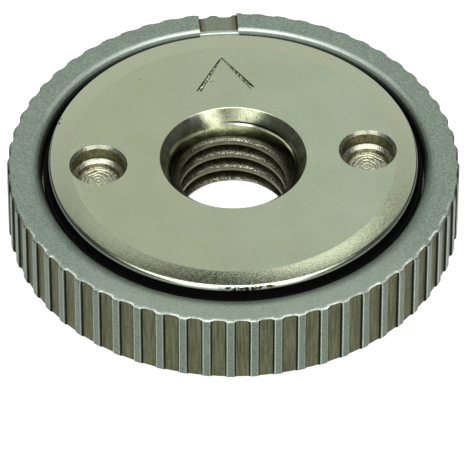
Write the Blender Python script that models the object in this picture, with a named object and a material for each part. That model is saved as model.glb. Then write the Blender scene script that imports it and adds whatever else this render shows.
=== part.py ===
"""Quick release nut for an angle grinder spindle, with its release mechanism.

The nut stands as it does on a bench: +Z runs up the spindle axis, and the origin is the
centre of the clamping face underneath. The index notch and the arrow's side face +Y, and the
two spanner holes lie on X.

How it works: a fluted ring turns on a threaded hub. Inside it, a cam ring holds six balls in
against a cone on the pressure flange, and so keeps the flange down on the disc. Turned
anticlockwise, the cam lets the balls out, the flange rises, and the nut comes off by hand.
Two arc springs turn the ring back.

All sizes are built up from the thread outwards and from the clamping face upwards, so that a
change of one size carries its neighbours along.
"""

import math

import bmesh
import bpy
from mathutils import Matrix, Vector

MM = 0.001

# Thread and hub sleeve
THREAD_MAJOR_R = 7.0 * MM
THREAD_MINOR_R = 5.918 * MM
THREAD_TOP_DEPTH = 3.25 * MM
MOUTH_FLARE = 1.2 * MM
EXIT_FLARE = 0.88 * MM
SLEEVE_WALL = 3.0 * MM

# Balls, cam and lift
BALL_COUNT = 6
BALL_R = 1.5 * MM
BALL_TRAVEL = 1.2 * MM
FLANGE_LIFT = 0.5 * MM
RING_TURN = math.radians(30.0)
CAM_OVERRUN = math.radians(6.5)
CAM_RETURN = math.radians(9.5)
CAM_THICKNESS = 2.5 * MM
CAM_SHOULDER = 0.35 * MM
CAM_LUG_COUNT = 4
CAM_LUG_WIDTH = 3.0 * MM
CAM_LUG_HEIGHT = 0.9 * MM

# Ball guide and its three guide pins
GUIDE_WEB = 2.1 * MM
GUIDE_PIN_COUNT = 3
GUIDE_PIN_R = 1.0 * MM
GUIDE_PIN_SOCKET = 1.6 * MM

# Return springs and the pins that push them
SPRING_COUNT = 2
SPRING_COIL_R = 0.7 * MM
SPRING_WIRE_R = 0.2 * MM
SPRING_TURNS = 8
SPRING_STEPS_A_TURN = 8
SPRING_SLOT = math.radians(84.0)
DRIVE_PIN_R = 0.85 * MM
DRIVE_PIN_SOCKET = 2.1 * MM

# Hub disc
DISC_THICKNESS = 3.2 * MM
DISC_CONE_WIDTH = 2.45 * MM
DISC_CONE_DROP = 0.16 * MM
RIM_LIP = 0.6 * MM
RIM_ROUND = 0.42 * MM
GROOVE_WALL = 1.0 * MM
SEAL_GROOVE_DEPTH = 0.95 * MM
SEAL_GROOVE_HEIGHT = 1.85 * MM
SKIRT_REACH = 0.45 * MM

# Spanner holes
SPANNER_PITCH_R = 15.0 * MM
SPANNER_HOLE_R = 2.9 * MM
SPANNER_CHAMFER = 0.33 * MM
SPANNER_HOLE_DEPTH = 1.95 * MM
SPANNER_STEP_R = 2.4 * MM
SPANNER_FLOOR_R = 1.97 * MM
SPANNER_FLOOR_DEPTH = 2.3 * MM

# Fluted ring
RING_DROP = 0.77 * MM
RING_WALL = 3.2 * MM
FLUTE_COUNT = 60
FLUTE_DEPTH = 0.35 * MM
FLUTE_PHASE = math.radians(0.75)
FLUTE_CORNER = 0.12 * MM
FLUTE_WALL_LEAN = 0.12 * MM
RIB_WIDTH = 0.98 * MM
RING_EDGE = 0.12 * MM
RING_INNER_WIDTH = 0.85 * MM
RING_INNER_FALL = 0.6 * MM
NOTCH_WIDTH = 4.3 * MM
NOTCH_DEPTH = 0.5 * MM

# Pressure flange
FLANGE_COLLAR = 2.3 * MM
FLANGE_EDGE = 0.25 * MM
FLANGE_SEAL_LIP = 1.0 * MM
FLANGE_SEAL_HEIGHT = 1.2 * MM
FLANGE_SEAL_DEPTH = 1.2 * MM

# Heights of the ring and the sleeve's foot over the clamping face
RING_LIFT = 1.1 * MM
FOOT_CLEARANCE = 0.15 * MM

# Snap rings
SNAP_THICKNESS = 0.6 * MM
SNAP_LAND = 0.8 * MM
SNAP_GROOVE_DEPTH = 0.8 * MM
SNAP_REACH = 1.3 * MM
SNAP_ROOM = 0.7 * MM
SNAP_GAP = math.radians(26.0)

# Fits: running clearance of a shaft, gap of pieces that seat on each other, and seal opening
RUNNING_FIT = 0.1 * MM
SEAT_GAP = 0.15 * MM
SEAL_OPENING = 0.7 * MM
CUT_OVER = 1.0 * MM

# Facets round each turned piece
RING_STEPS = 2 * FLUTE_COUNT
TURNED_STEPS = 60
SEAL_STEPS = 48
GUIDE_STEPS = 90
CAM_STEPS = 96
PIN_STEPS = 16

# Radii, from the sleeve outwards
SLEEVE_R = THREAD_MAJOR_R + SLEEVE_WALL
MOUTH_R = THREAD_MAJOR_R + MOUTH_FLARE
SNAP_GROOVE_R = SLEEVE_R - SNAP_GROOVE_DEPTH
BALL_REST_R = SLEEVE_R + GUIDE_WEB + BALL_R
GUIDE_R = BALL_REST_R + BALL_TRAVEL + RUNNING_FIT
GUIDE_PIN_PITCH_R = (SLEEVE_R + GUIDE_R) / 2
CAM_LOBE_R = BALL_REST_R + BALL_R + SEAT_GAP
CAM_LIFT_RATE = BALL_TRAVEL / RING_TURN
CAM_POCKET_R = CAM_LOBE_R + CAM_LIFT_RATE * (RING_TURN + CAM_OVERRUN)
SPRING_R = SPRING_COIL_R + SPRING_WIRE_R
SPRING_SLOT_HALF = max(SPRING_R, DRIVE_PIN_R) + SEAT_GAP
SPRING_PATH_R = CAM_LOBE_R + BALL_TRAVEL + SPRING_SLOT_HALF + RUNNING_FIT / 2
SEAL_GROOVE_R = SPRING_PATH_R + SPRING_SLOT_HALF + GROOVE_WALL
RIM_R = SEAL_GROOVE_R + SEAL_GROOVE_DEPTH
DISC_FACE_R = RIM_R - DISC_CONE_WIDTH
SKIRT_R = RIM_R + SKIRT_REACH
RING_BORE_R = RIM_R + SEAL_OPENING
CAM_SEAT_R = RING_BORE_R + CAM_SHOULDER
CAM_OUTER_R = CAM_SEAT_R - SEAT_GAP
CAM_LUG_R = CAM_OUTER_R + CAM_LUG_HEIGHT
RING_ROOT_R = CAM_SEAT_R + RING_WALL
RING_TIP_R = RING_ROOT_R + FLUTE_DEPTH
FLANGE_BORE_R = SLEEVE_R + RUNNING_FIT
FLANGE_R = RING_BORE_R - SKIRT_REACH
FLANGE_COUNTERBORE_R = SLEEVE_R + SNAP_REACH + SNAP_ROOM
FLANGE_GROOVE_R = FLANGE_R - FLANGE_SEAL_DEPTH
CONE_START_R = BALL_REST_R - BALL_TRAVEL
CONE_END_R = BALL_REST_R + BALL_TRAVEL + BALL_R + RUNNING_FIT
CONE_FALL = FLANGE_LIFT / BALL_TRAVEL

# Heights, from the clamping face upwards
FOOT_Z = FLANGE_LIFT + FOOT_CLEARANCE
SNAP_GROOVE_Z = FOOT_Z + SNAP_LAND
SNAP_Z = SNAP_GROOVE_Z + RUNNING_FIT
SNAP_GROOVE_TOP_Z = SNAP_Z + SNAP_THICKNESS + RUNNING_FIT
SHOULDER_Z = SNAP_Z + SNAP_THICKNESS + SEAT_GAP
COLLAR_Z = SHOULDER_Z + FLANGE_COLLAR
FLANGE_SOCKET_Z = SHOULDER_Z + SEAT_GAP
CONE_BALL_Z = COLLAR_Z - (BALL_REST_R - CONE_START_R) * CONE_FALL
CONE_END_Z = COLLAR_Z - (CONE_END_R - CONE_START_R) * CONE_FALL
BALL_Z = CONE_BALL_Z + (BALL_R + RUNNING_FIT) * math.hypot(1.0, CONE_FALL)
UNDER_DISC_Z = BALL_Z + BALL_R + RUNNING_FIT
CAM_TOP_Z = UNDER_DISC_Z - SEAT_GAP - RUNNING_FIT / 2
CAM_SEAT_Z = CAM_TOP_Z + SEAT_GAP
CAM_Z = CAM_TOP_Z - CAM_THICKNESS
GUIDE_TOP_Z = UNDER_DISC_Z - SEAT_GAP
GUIDE_Z = COLLAR_Z + FLANGE_LIFT + SEAT_GAP
SPRING_SLOT_TOP_Z = UNDER_DISC_Z + 2 * SPRING_SLOT_HALF
SPRING_Z = UNDER_DISC_Z + SPRING_SLOT_HALF
FACE_Z = UNDER_DISC_Z + DISC_THICKNESS
RIM_Z = FACE_Z - DISC_CONE_DROP
LIP_Z = RIM_Z - RIM_LIP
SEAL_SHELF_Z = LIP_Z - SEAL_GROOVE_HEIGHT
THREAD_TOP_Z = FACE_Z - THREAD_TOP_DEPTH
RING_TOP_Z = RIM_Z - RING_DROP
CAM_SNAP_Z = CAM_Z - SEAT_GAP - SNAP_THICKNESS

# Places round the axis: ball 1 lies on X, and the guide pins stand between balls
BALL_PITCH = math.tau / BALL_COUNT
GUIDE_PIN_START = math.pi / 2
SPRING_SLOT_START = math.pi / 2 - SPRING_SLOT / 2
DRIVE_PIN_START = SPRING_SLOT_START + (DRIVE_PIN_R + SEAT_GAP) / SPRING_PATH_R
CAM_LUG_START = math.pi / 4


def clear_scene():
    for obj in list(bpy.data.objects):
        bpy.data.objects.remove(obj, do_unlink=True)


def metal(name, colour, roughness, metallic=1.0):
    """A material from its colour, roughness and metallic value."""
    made = bpy.data.materials.new(name)
    made.use_nodes = True
    shader = made.node_tree.nodes["Principled BSDF"]
    shader.inputs["Base Color"].default_value = (*colour, 1.0)
    shader.inputs["Roughness"].default_value = roughness
    shader.inputs["Metallic"].default_value = metallic
    return made


def polar(radius, angle, height=0.0):
    return Vector((radius * math.cos(angle), radius * math.sin(angle), height))


def piece(name, bm, finish, place=(0.0, 0.0, 0.0)):
    """An object from a bmesh, welded, with its faces out and round parts shaded smooth."""
    bmesh.ops.remove_doubles(bm, verts=bm.verts, dist=1e-7)
    bmesh.ops.recalc_face_normals(bm, faces=bm.faces)
    mesh = bpy.data.meshes.new(name)
    bm.to_mesh(mesh)
    bm.free()
    mesh.materials.append(finish)
    mesh.shade_smooth()
    mesh.set_sharp_from_angle(angle=math.radians(25.0))
    made = bpy.data.objects.new(name, mesh)
    made.location = place
    bpy.context.scene.collection.objects.link(made)
    return made


def cutter(name, bm, finish):
    """A helper solid that a Boolean reads, left out of every render."""
    helper = piece(name, bm, finish)
    helper.hide_render = True
    helper.display_type = "WIRE"
    return helper


def join_or_cut(obj, helper, operation="DIFFERENCE"):
    step = obj.modifiers.new(helper.name, "BOOLEAN")
    step.operation = operation
    step.object = helper


def turned(outline, steps, start=0.0):
    """A closed outline of (radius, height) points, turned once round Z."""
    bm = bmesh.new()
    points = [bm.verts.new(polar(radius, start, height)) for radius, height in outline]
    edges = [bm.edges.new(pair) for pair in zip(points, points[1:] + points[:1])]
    bmesh.ops.spin(
        bm,
        geom=points + edges,
        axis=(0.0, 0.0, 1.0),
        cent=(0.0, 0.0, 0.0),
        angle=math.tau,
        steps=steps,
        use_merge=True,
    )
    return bm


def loft(loops, closed=False):
    """Skins between loops of equal length. An open loft gets its two ends filled."""
    bm = bmesh.new()
    rows = [[bm.verts.new(point) for point in loop] for loop in loops]
    pairs = list(zip(rows, rows[1:] + rows[:1])) if closed else list(zip(rows, rows[1:]))
    for near, far in pairs:
        for i, corner in enumerate(near):
            bm.faces.new((corner, near[i - 1], far[i - 1], far[i]))
    if not closed:
        bm.faces.new(rows[0])
        bm.faces.new(rows[-1])
    return bm


def prism(outline, low, high):
    """A flat outline of (x, y) points, extruded from one height to another."""
    return loft([[Vector((x, y, z)) for x, y in outline] for z in (low, high)])


def prisms_round(outline, low, high, angles):
    """Copies of one prism, turned to each of the angles, in one bmesh."""
    bm = bmesh.new()
    for angle in angles:
        turn = Matrix.Rotation(angle, 4, "Z")
        one = prism(outline, low, high)
        one.transform(turn)
        rows = [[bm.verts.new(corner.co) for corner in face.verts] for face in one.faces]
        for row in rows:
            bm.faces.new(row)
        one.free()
    return bm


def disc_outline(radius, centre, steps):
    """The corners of a round hole or pin, as (x, y) points."""
    corners = [polar(radius, math.tau * i / steps) for i in range(steps)]
    return [(centre[0] + corner.x, centre[1] + corner.y) for corner in corners]


def arc_band(low_r, high_r, start, sweep, steps):
    """The outline of a band that bends round Z between two radii."""
    angles = [start + sweep * i / steps for i in range(steps + 1)]
    outer = [polar(high_r, angle) for angle in angles]
    inner = [polar(low_r, angle) for angle in reversed(angles)]
    return [(point.x, point.y) for point in outer + inner]


def spaced(count, start=0.0):
    return [start + math.tau * i / count for i in range(count)]


def box_outline(near, far, width):
    """A rectangle that points along +X from one radius to another."""
    return [(near, -width / 2), (far, -width / 2), (far, width / 2), (near, width / 2)]


def edge_round(wall_r, top_z, width, fall, steps=2):
    """A quarter round between a top face and a wall, from the face down to the wall. Width is
    negative where the wall is a bore's."""
    turns = [math.pi / 2 * i / steps for i in range(steps + 1)]
    return [
        (wall_r - width * (1 - math.sin(turn)), top_z - fall * (1 - math.cos(turn)))
        for turn in turns
    ]


def threaded_hub(finish):
    """Disc, sleeve and bore in one turned piece. The bore is at the thread's minor radius."""
    exit_r = THREAD_MINOR_R + EXIT_FLARE
    outline = [
        (MOUTH_R, FACE_Z),
        (DISC_FACE_R, FACE_Z),
        *edge_round(RIM_R, RIM_Z, RIM_ROUND, RIM_ROUND),
        (RIM_R, LIP_Z),
        (SEAL_GROOVE_R, LIP_Z),
        (SEAL_GROOVE_R, SEAL_SHELF_Z),
        (SKIRT_R, SEAL_SHELF_Z),
        (SKIRT_R, UNDER_DISC_Z),
        (SLEEVE_R, UNDER_DISC_Z),
        (SLEEVE_R, SNAP_GROOVE_TOP_Z),
        (SNAP_GROOVE_R, SNAP_GROOVE_TOP_Z),
        (SNAP_GROOVE_R, SNAP_GROOVE_Z),
        (SLEEVE_R, SNAP_GROOVE_Z),
        (SLEEVE_R, FOOT_Z + FLANGE_EDGE),
        (SLEEVE_R - FLANGE_EDGE, FOOT_Z),
        (exit_r, FOOT_Z),
        (THREAD_MINOR_R, FOOT_Z + EXIT_FLARE),
        (THREAD_MINOR_R, THREAD_TOP_Z - (THREAD_MAJOR_R - THREAD_MINOR_R)),
        (THREAD_MAJOR_R, THREAD_TOP_Z),
        (THREAD_MAJOR_R, FACE_Z - MOUTH_FLARE),
    ]
    hub = piece("threaded_hub", turned(outline, TURNED_STEPS), finish)
    for number, side in enumerate((1, -1), 1):
        hole = cutter(f"spanner_hole_cutter_{number}", spanner_hole(), finish)
        hole.location = (side * SPANNER_PITCH_R, 0.0, FACE_Z)
        join_or_cut(hub, hole)
    for number, start in enumerate(spaced(SPRING_COUNT, SPRING_SLOT_START), 1):
        band = arc_band(
            SPRING_PATH_R - SPRING_SLOT_HALF, SPRING_PATH_R + SPRING_SLOT_HALF, start, SPRING_SLOT, 20
        )
        low = UNDER_DISC_Z - CUT_OVER
        slot = prism(band, low, SPRING_SLOT_TOP_Z)
        join_or_cut(hub, cutter(f"spring_slot_cutter_{number}", slot, finish))
    sockets = prisms_round(
        disc_outline(GUIDE_PIN_R + RUNNING_FIT, (GUIDE_PIN_PITCH_R, 0.0), PIN_STEPS),
        UNDER_DISC_Z - CUT_OVER,
        UNDER_DISC_Z + GUIDE_PIN_SOCKET,
        spaced(GUIDE_PIN_COUNT, GUIDE_PIN_START),
    )
    join_or_cut(hub, cutter("guide_socket_cutter", sockets, finish))
    return hub


def spanner_hole():
    """The stepped blind hole that one pin of a two-pin spanner drops into."""
    mouth_r = SPANNER_HOLE_R + SPANNER_CHAMFER
    return turned(
        [
            (0.0, CUT_OVER),
            (mouth_r + CUT_OVER, CUT_OVER),
            (SPANNER_HOLE_R, -SPANNER_CHAMFER),
            (SPANNER_HOLE_R, -SPANNER_HOLE_DEPTH),
            (SPANNER_STEP_R, -SPANNER_HOLE_DEPTH),
            (SPANNER_FLOOR_R, -SPANNER_FLOOR_DEPTH),
            (0.0, -SPANNER_FLOOR_DEPTH),
        ],
        32,
    )


def flute_outline():
    """One flute's section: leaning walls, a wide floor and small corners."""
    mouth = RING_TIP_R * math.tau / FLUTE_COUNT - RIB_WIDTH
    lean = FLUTE_WALL_LEAN / FLUTE_DEPTH
    over = FLUTE_DEPTH
    half = mouth / 2
    side = [
        (RING_TIP_R + over, half + over * lean),
        (RING_ROOT_R + FLUTE_CORNER, half - (FLUTE_DEPTH - FLUTE_CORNER) * lean),
        (RING_ROOT_R, half - FLUTE_WALL_LEAN - FLUTE_CORNER),
    ]
    return side + [(x, -y) for x, y in reversed(side)]


def knurled_ring(finish):
    """The fluted hand ring: index notch on top, cam seat, lug slots and snap groove inside."""
    snap_groove_r = CAM_SEAT_R + SNAP_GROOVE_DEPTH
    outline = [
        (RING_TIP_R - RING_EDGE, RING_LIFT),
        (RING_TIP_R, RING_LIFT + RING_EDGE),
        (RING_TIP_R, RING_TOP_Z - RING_EDGE),
        (RING_TIP_R - RING_EDGE, RING_TOP_Z),
        *edge_round(RING_BORE_R, RING_TOP_Z, -RING_INNER_WIDTH, RING_INNER_FALL),
        (RING_BORE_R, CAM_SEAT_Z),
        (CAM_SEAT_R, CAM_SEAT_Z),
        (CAM_SEAT_R, CAM_SNAP_Z + SNAP_THICKNESS + RUNNING_FIT),
        (snap_groove_r, CAM_SNAP_Z + SNAP_THICKNESS + RUNNING_FIT),
        (snap_groove_r, CAM_SNAP_Z - RUNNING_FIT),
        (CAM_SEAT_R, CAM_SNAP_Z - RUNNING_FIT),
        (CAM_SEAT_R, RING_LIFT + FLANGE_EDGE),
        (CAM_SEAT_R + FLANGE_EDGE, RING_LIFT),
    ]
    rib_facet_start = FLUTE_PHASE + math.pi / RING_STEPS
    ring = piece("knurled_ring", turned(outline, RING_STEPS, rib_facet_start), finish)
    half_pitch = math.pi / FLUTE_COUNT
    flutes = prisms_round(
        flute_outline(),
        RING_LIFT - CUT_OVER,
        RING_TOP_Z + CUT_OVER,
        spaced(FLUTE_COUNT, FLUTE_PHASE + half_pitch),
    )
    join_or_cut(ring, cutter("flute_cutter", flutes, finish))
    notch = prisms_round(
        box_outline(RING_BORE_R - CUT_OVER, RING_TIP_R + CUT_OVER, NOTCH_WIDTH),
        RING_TOP_Z - NOTCH_DEPTH,
        RING_TOP_Z + CUT_OVER,
        [math.pi / 2],
    )
    join_or_cut(ring, cutter("index_notch_cutter", notch, finish))
    lug_slots = prisms_round(
        box_outline(RING_BORE_R - CUT_OVER, CAM_LUG_R + SEAT_GAP, CAM_LUG_WIDTH + 2 * SEAT_GAP),
        RING_LIFT - CUT_OVER,
        CAM_SEAT_Z,
        spaced(CAM_LUG_COUNT, CAM_LUG_START),
    )
    join_or_cut(ring, cutter("lug_slot_cutter", lug_slots, finish))
    return ring


def cam_radius(angle):
    """The cam's inner radius: a lobe at each ball, a ramp as long as the turn, and a return."""
    behind = (-angle) % BALL_PITCH
    ramp = RING_TURN + CAM_OVERRUN
    if behind <= ramp:
        return CAM_LOBE_R + CAM_LIFT_RATE * behind
    if behind <= ramp + CAM_RETURN:
        return CAM_POCKET_R - (CAM_POCKET_R - CAM_LOBE_R) * (behind - ramp) / CAM_RETURN
    return CAM_LOBE_R


def cam_ring(finish):
    """The hardened ring inside the fluted one: six ramps, four drive lugs, two pin holes."""
    angles = spaced(CAM_STEPS)
    inner = [(cam_radius(angle), angle) for angle in angles]
    outer = [(CAM_OUTER_R, angle) for angle in angles]
    loops = [
        [polar(radius, angle, CAM_Z) for radius, angle in inner],
        [polar(radius, angle, CAM_Z) for radius, angle in outer],
        [polar(radius, angle, CAM_TOP_Z) for radius, angle in outer],
        [polar(radius, angle, CAM_TOP_Z) for radius, angle in inner],
    ]
    cam = piece("cam_ring", loft(loops, closed=True), finish)
    lugs = prisms_round(
        box_outline(CAM_OUTER_R - CUT_OVER, CAM_LUG_R, CAM_LUG_WIDTH),
        CAM_Z,
        CAM_TOP_Z,
        spaced(CAM_LUG_COUNT, CAM_LUG_START),
    )
    join_or_cut(cam, cutter("cam_lug_shape", lugs, finish), "UNION")
    holes = prisms_round(
        disc_outline(DRIVE_PIN_R + RUNNING_FIT, (SPRING_PATH_R, 0.0), PIN_STEPS),
        CAM_TOP_Z - DRIVE_PIN_SOCKET,
        CAM_TOP_Z + CUT_OVER,
        spaced(SPRING_COUNT, DRIVE_PIN_START),
    )
    join_or_cut(cam, cutter("drive_pin_hole_cutter", holes, finish))
    return cam


def pressure_flange(finish):
    """The ring that clamps the disc: flat face below, ball cone above, seal groove outside."""
    edge = FLANGE_EDGE
    seal_top = FLANGE_SEAL_LIP + FLANGE_SEAL_HEIGHT
    outline = [
        (FLANGE_BORE_R, SHOULDER_Z),
        (FLANGE_BORE_R, COLLAR_Z),
        (CONE_START_R, COLLAR_Z),
        (CONE_END_R, CONE_END_Z),
        (FLANGE_R, CONE_END_Z),
        (FLANGE_R, seal_top),
        (FLANGE_GROOVE_R, seal_top),
        (FLANGE_GROOVE_R, FLANGE_SEAL_LIP),
        (FLANGE_R, FLANGE_SEAL_LIP),
        (FLANGE_R, edge),
        (FLANGE_R - edge, 0.0),
        (FLANGE_COUNTERBORE_R + edge, 0.0),
        (FLANGE_COUNTERBORE_R, edge),
        (FLANGE_COUNTERBORE_R, SHOULDER_Z),
    ]
    flange = piece("pressure_flange", turned(outline, TURNED_STEPS), finish)
    holes = prisms_round(
        disc_outline(GUIDE_PIN_R + RUNNING_FIT, (GUIDE_PIN_PITCH_R, 0.0), PIN_STEPS),
        FLANGE_SOCKET_Z,
        COLLAR_Z + CUT_OVER,
        spaced(GUIDE_PIN_COUNT, GUIDE_PIN_START),
    )
    join_or_cut(flange, cutter("flange_pin_hole_cutter", holes, finish))
    return flange


def ball_guide(finish):
    """The slotted disc on the sleeve that keeps the balls spread round the axis."""
    bore = SLEEVE_R + RUNNING_FIT
    outline = [(bore, GUIDE_Z), (GUIDE_R, GUIDE_Z), (GUIDE_R, GUIDE_TOP_Z), (bore, GUIDE_TOP_Z)]
    guide = piece("ball_guide", turned(outline, GUIDE_STEPS), finish)
    slot_half = BALL_R + RUNNING_FIT
    round_end = [polar(slot_half, math.pi / 2 + math.pi * i / 8) for i in range(9)]
    slot = [(BALL_REST_R + point.x, point.y) for point in round_end]
    slot += [(GUIDE_R + CUT_OVER, -slot_half), (GUIDE_R + CUT_OVER, slot_half)]
    low, high = GUIDE_Z - CUT_OVER, GUIDE_TOP_Z + CUT_OVER
    slots = prisms_round(slot, low, high, spaced(BALL_COUNT))
    join_or_cut(guide, cutter("ball_slot_cutter", slots, finish))
    pin_hole = disc_outline(GUIDE_PIN_R + RUNNING_FIT, (GUIDE_PIN_PITCH_R, 0.0), PIN_STEPS)
    holes = prisms_round(pin_hole, low, high, spaced(GUIDE_PIN_COUNT, GUIDE_PIN_START))
    join_or_cut(guide, cutter("guide_pin_hole_cutter", holes, finish))
    return guide


def balls(finish):
    """Six balls, each with its origin at its own centre, which slides out along a radius."""
    for number, angle in enumerate(spaced(BALL_COUNT), 1):
        bm = bmesh.new()
        bmesh.ops.create_uvsphere(bm, u_segments=12, v_segments=8, radius=BALL_R)
        piece(f"ball_{number}", bm, finish, polar(BALL_REST_R, angle, BALL_Z))


def pins(name, count, start, pitch_r, radius, low, high, finish):
    """Dowel pins on a circle, each an upright cylinder with its origin at its lower end."""
    for number, angle in enumerate(spaced(count, start), 1):
        pin = prism(disc_outline(radius, (0.0, 0.0), PIN_STEPS), 0.0, high - low)
        piece(f"{name}_{number}", pin, finish, polar(pitch_r, angle, low))


def return_springs(finish):
    """Arc springs in the hub's slots: a helix wound round an arc, as a bevelled curve."""
    first = DRIVE_PIN_START + (DRIVE_PIN_R + SEAT_GAP + SPRING_WIRE_R) / SPRING_PATH_R
    last = SPRING_SLOT_START + SPRING_SLOT - (SEAT_GAP + SPRING_WIRE_R) / SPRING_PATH_R
    steps = SPRING_TURNS * SPRING_STEPS_A_TURN
    for number, offset in enumerate(spaced(SPRING_COUNT), 1):
        curve = bpy.data.curves.new(f"return_spring_{number}", "CURVE")
        curve.dimensions = "3D"
        curve.bevel_depth = SPRING_WIRE_R
        curve.bevel_resolution = 1
        curve.use_fill_caps = True
        wire = curve.splines.new("POLY")
        wire.points.add(steps)
        for i, point in enumerate(wire.points):
            wind = math.tau * SPRING_TURNS * i / steps
            angle = offset + first + (last - first) * i / steps
            radius = SPRING_PATH_R + SPRING_COIL_R * math.cos(wind)
            point.co = (*polar(radius, angle, SPRING_Z + SPRING_COIL_R * math.sin(wind)), 1.0)
        curve.materials.append(finish)
        spring = bpy.data.objects.new(f"return_spring_{number}", curve)
        bpy.context.scene.collection.objects.link(spring)


def top_seal(finish):
    """The black wiper in the gap between hub and ring: a foot in the groove and a low lip."""
    inner = SEAL_GROOVE_R + SEAT_GAP
    outer = RING_BORE_R - SEAT_GAP
    foot = SEAL_SHELF_Z + SEAT_GAP
    shoulder = LIP_Z - SEAT_GAP
    lip = RING_TOP_Z - RING_INNER_FALL
    outline = [
        (inner, foot),
        (outer, foot),
        (outer, lip - SEAT_GAP),
        (outer - SEAT_GAP, lip),
        (RIM_R + SEAT_GAP, lip),
        (RIM_R - SEAT_GAP, shoulder),
        (inner, shoulder),
    ]
    piece("top_seal", turned(outline, SEAL_STEPS), finish)


def bottom_seal(finish):
    """The wiper between the pressure flange and the lower bore of the fluted ring."""
    inner = FLANGE_GROOVE_R + SEAT_GAP
    outer = CAM_SEAT_R - SEAT_GAP
    low = FLANGE_SEAL_LIP + RUNNING_FIT
    high = FLANGE_SEAL_LIP + FLANGE_SEAL_HEIGHT - RUNNING_FIT
    lip = FLANGE_R + SEAT_GAP
    low_lip = low + SEAT_GAP
    outline = [(inner, low), (lip, low), (outer, low_lip), (outer, high), (inner, high)]
    piece("bottom_seal", turned(outline, SEAL_STEPS), finish)


def snap_ring(name, low_r, high_r, low, start, finish):
    """A flat split ring, open at one side so that it can spring into its groove."""
    band = arc_band(low_r, high_r, start + SNAP_GAP / 2, math.tau - SNAP_GAP, 40)
    piece(name, prism(band, low, low + SNAP_THICKNESS), finish)


def build():
    clear_scene()
    machined = metal("machined_steel", (0.36, 0.38, 0.31), 0.38)
    phosphated = metal("phosphated_steel", (0.21, 0.24, 0.19), 0.55)
    hardened = metal("hardened_steel", (0.42, 0.42, 0.43), 0.25)
    polished = metal("ball_steel", (0.62, 0.62, 0.64), 0.08)
    spring_steel = metal("spring_steel", (0.16, 0.16, 0.17), 0.35)
    rubber = metal("seal_rubber", (0.015, 0.015, 0.015), 0.7, 0.0)

    threaded_hub(machined)
    knurled_ring(phosphated)
    cam_ring(hardened)
    pressure_flange(machined)
    ball_guide(hardened)
    balls(polished)
    pins(
        "guide_pin",
        GUIDE_PIN_COUNT,
        GUIDE_PIN_START,
        GUIDE_PIN_PITCH_R,
        GUIDE_PIN_R,
        FLANGE_SOCKET_Z + FLANGE_LIFT + SEAT_GAP,
        UNDER_DISC_Z + GUIDE_PIN_SOCKET - SEAT_GAP,
        hardened,
    )
    pins(
        "drive_pin",
        SPRING_COUNT,
        DRIVE_PIN_START,
        SPRING_PATH_R,
        DRIVE_PIN_R,
        CAM_TOP_Z - DRIVE_PIN_SOCKET + SEAT_GAP,
        SPRING_SLOT_TOP_Z - SEAT_GAP,
        hardened,
    )
    return_springs(spring_steel)
    top_seal(rubber)
    bottom_seal(rubber)
    snap_ring(
        "hub_snap_ring",
        SNAP_GROOVE_R + RUNNING_FIT,
        SNAP_GROOVE_R + SNAP_GROOVE_DEPTH + SNAP_REACH,
        SNAP_Z,
        math.pi / 2,
        spring_steel,
    )
    snap_ring(
        "cam_snap_ring",
        CAM_SEAT_R - SNAP_REACH + SEAT_GAP,
        CAM_SEAT_R + SNAP_GROOVE_DEPTH - RUNNING_FIT,
        CAM_SNAP_Z,
        0.0,
        spring_steel,
    )


build()
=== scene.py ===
# %% [markdown]
# # A quick release nut for an angle grinder
#
# The nut screws onto the grinder's spindle and clamps the disc. You turn the fluted ring by
# hand, and the cam inside lets the clamping flange go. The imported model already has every
# solid part at its right place. This lesson gives those parts the surfaces and finishes that
# the eye sees: turned steel, a matte phosphated ring, an oily thread and a black rubber seal.

import bmesh
import bpy
import numpy as np
from mathutils import Matrix, Vector


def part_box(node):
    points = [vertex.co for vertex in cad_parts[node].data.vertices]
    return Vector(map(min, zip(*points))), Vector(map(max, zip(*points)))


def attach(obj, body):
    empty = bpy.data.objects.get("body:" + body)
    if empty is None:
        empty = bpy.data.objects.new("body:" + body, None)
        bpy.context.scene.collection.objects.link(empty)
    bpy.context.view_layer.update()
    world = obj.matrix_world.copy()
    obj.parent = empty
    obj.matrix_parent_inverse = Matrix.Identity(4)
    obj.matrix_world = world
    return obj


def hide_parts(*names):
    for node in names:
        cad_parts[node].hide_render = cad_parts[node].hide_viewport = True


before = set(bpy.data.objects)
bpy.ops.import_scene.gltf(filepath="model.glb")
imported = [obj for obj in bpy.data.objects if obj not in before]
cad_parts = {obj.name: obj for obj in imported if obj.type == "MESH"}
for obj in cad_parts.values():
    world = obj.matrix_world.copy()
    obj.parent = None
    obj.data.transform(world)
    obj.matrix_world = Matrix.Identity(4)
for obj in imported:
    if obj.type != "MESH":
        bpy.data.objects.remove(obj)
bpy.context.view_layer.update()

# %% [markdown]
# ## Sizes
#
# We could type every height again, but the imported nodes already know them. So we read what a
# box can tell, and name only the sizes that no box shows, such as the width of a rib.
# All sizes are in metres. MM turns millimetres into metres.

# %% Sizes read from the frame, and sizes of details
MM = 0.001
RING_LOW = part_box("knurled_ring")[0].z
RING_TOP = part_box("knurled_ring")[1].z
RING_TIP_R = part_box("knurled_ring")[1].x
HUB_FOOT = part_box("threaded_hub")[0].z
HUB_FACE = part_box("threaded_hub")[1].z
SKIRT_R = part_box("threaded_hub")[1].x

UNDER_DISC = HUB_FACE - 3.2 * MM
RIM_R = 20.55 * MM
RIM_ROUND = 0.46 * MM
RIM_Z = HUB_FACE - 0.16 * MM
RING_BORE_R = 21.25 * MM
CAM_SEAT_R = 21.6 * MM
CAM_SEAT_Z = UNDER_DISC - 0.05 * MM
THREAD_R = 7.0 * MM
CREST_R = 5.918 * MM
PITCH = 2.0 * MM
THREAD_TOP = HUB_FACE - 2.62 * MM
RELIEF_R = 6.42 * MM
SLEEVE_R = 10.0 * MM
print("ring", round(RING_LOW / MM, 3), "to", round(RING_TOP / MM, 3), "mm high")

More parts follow.
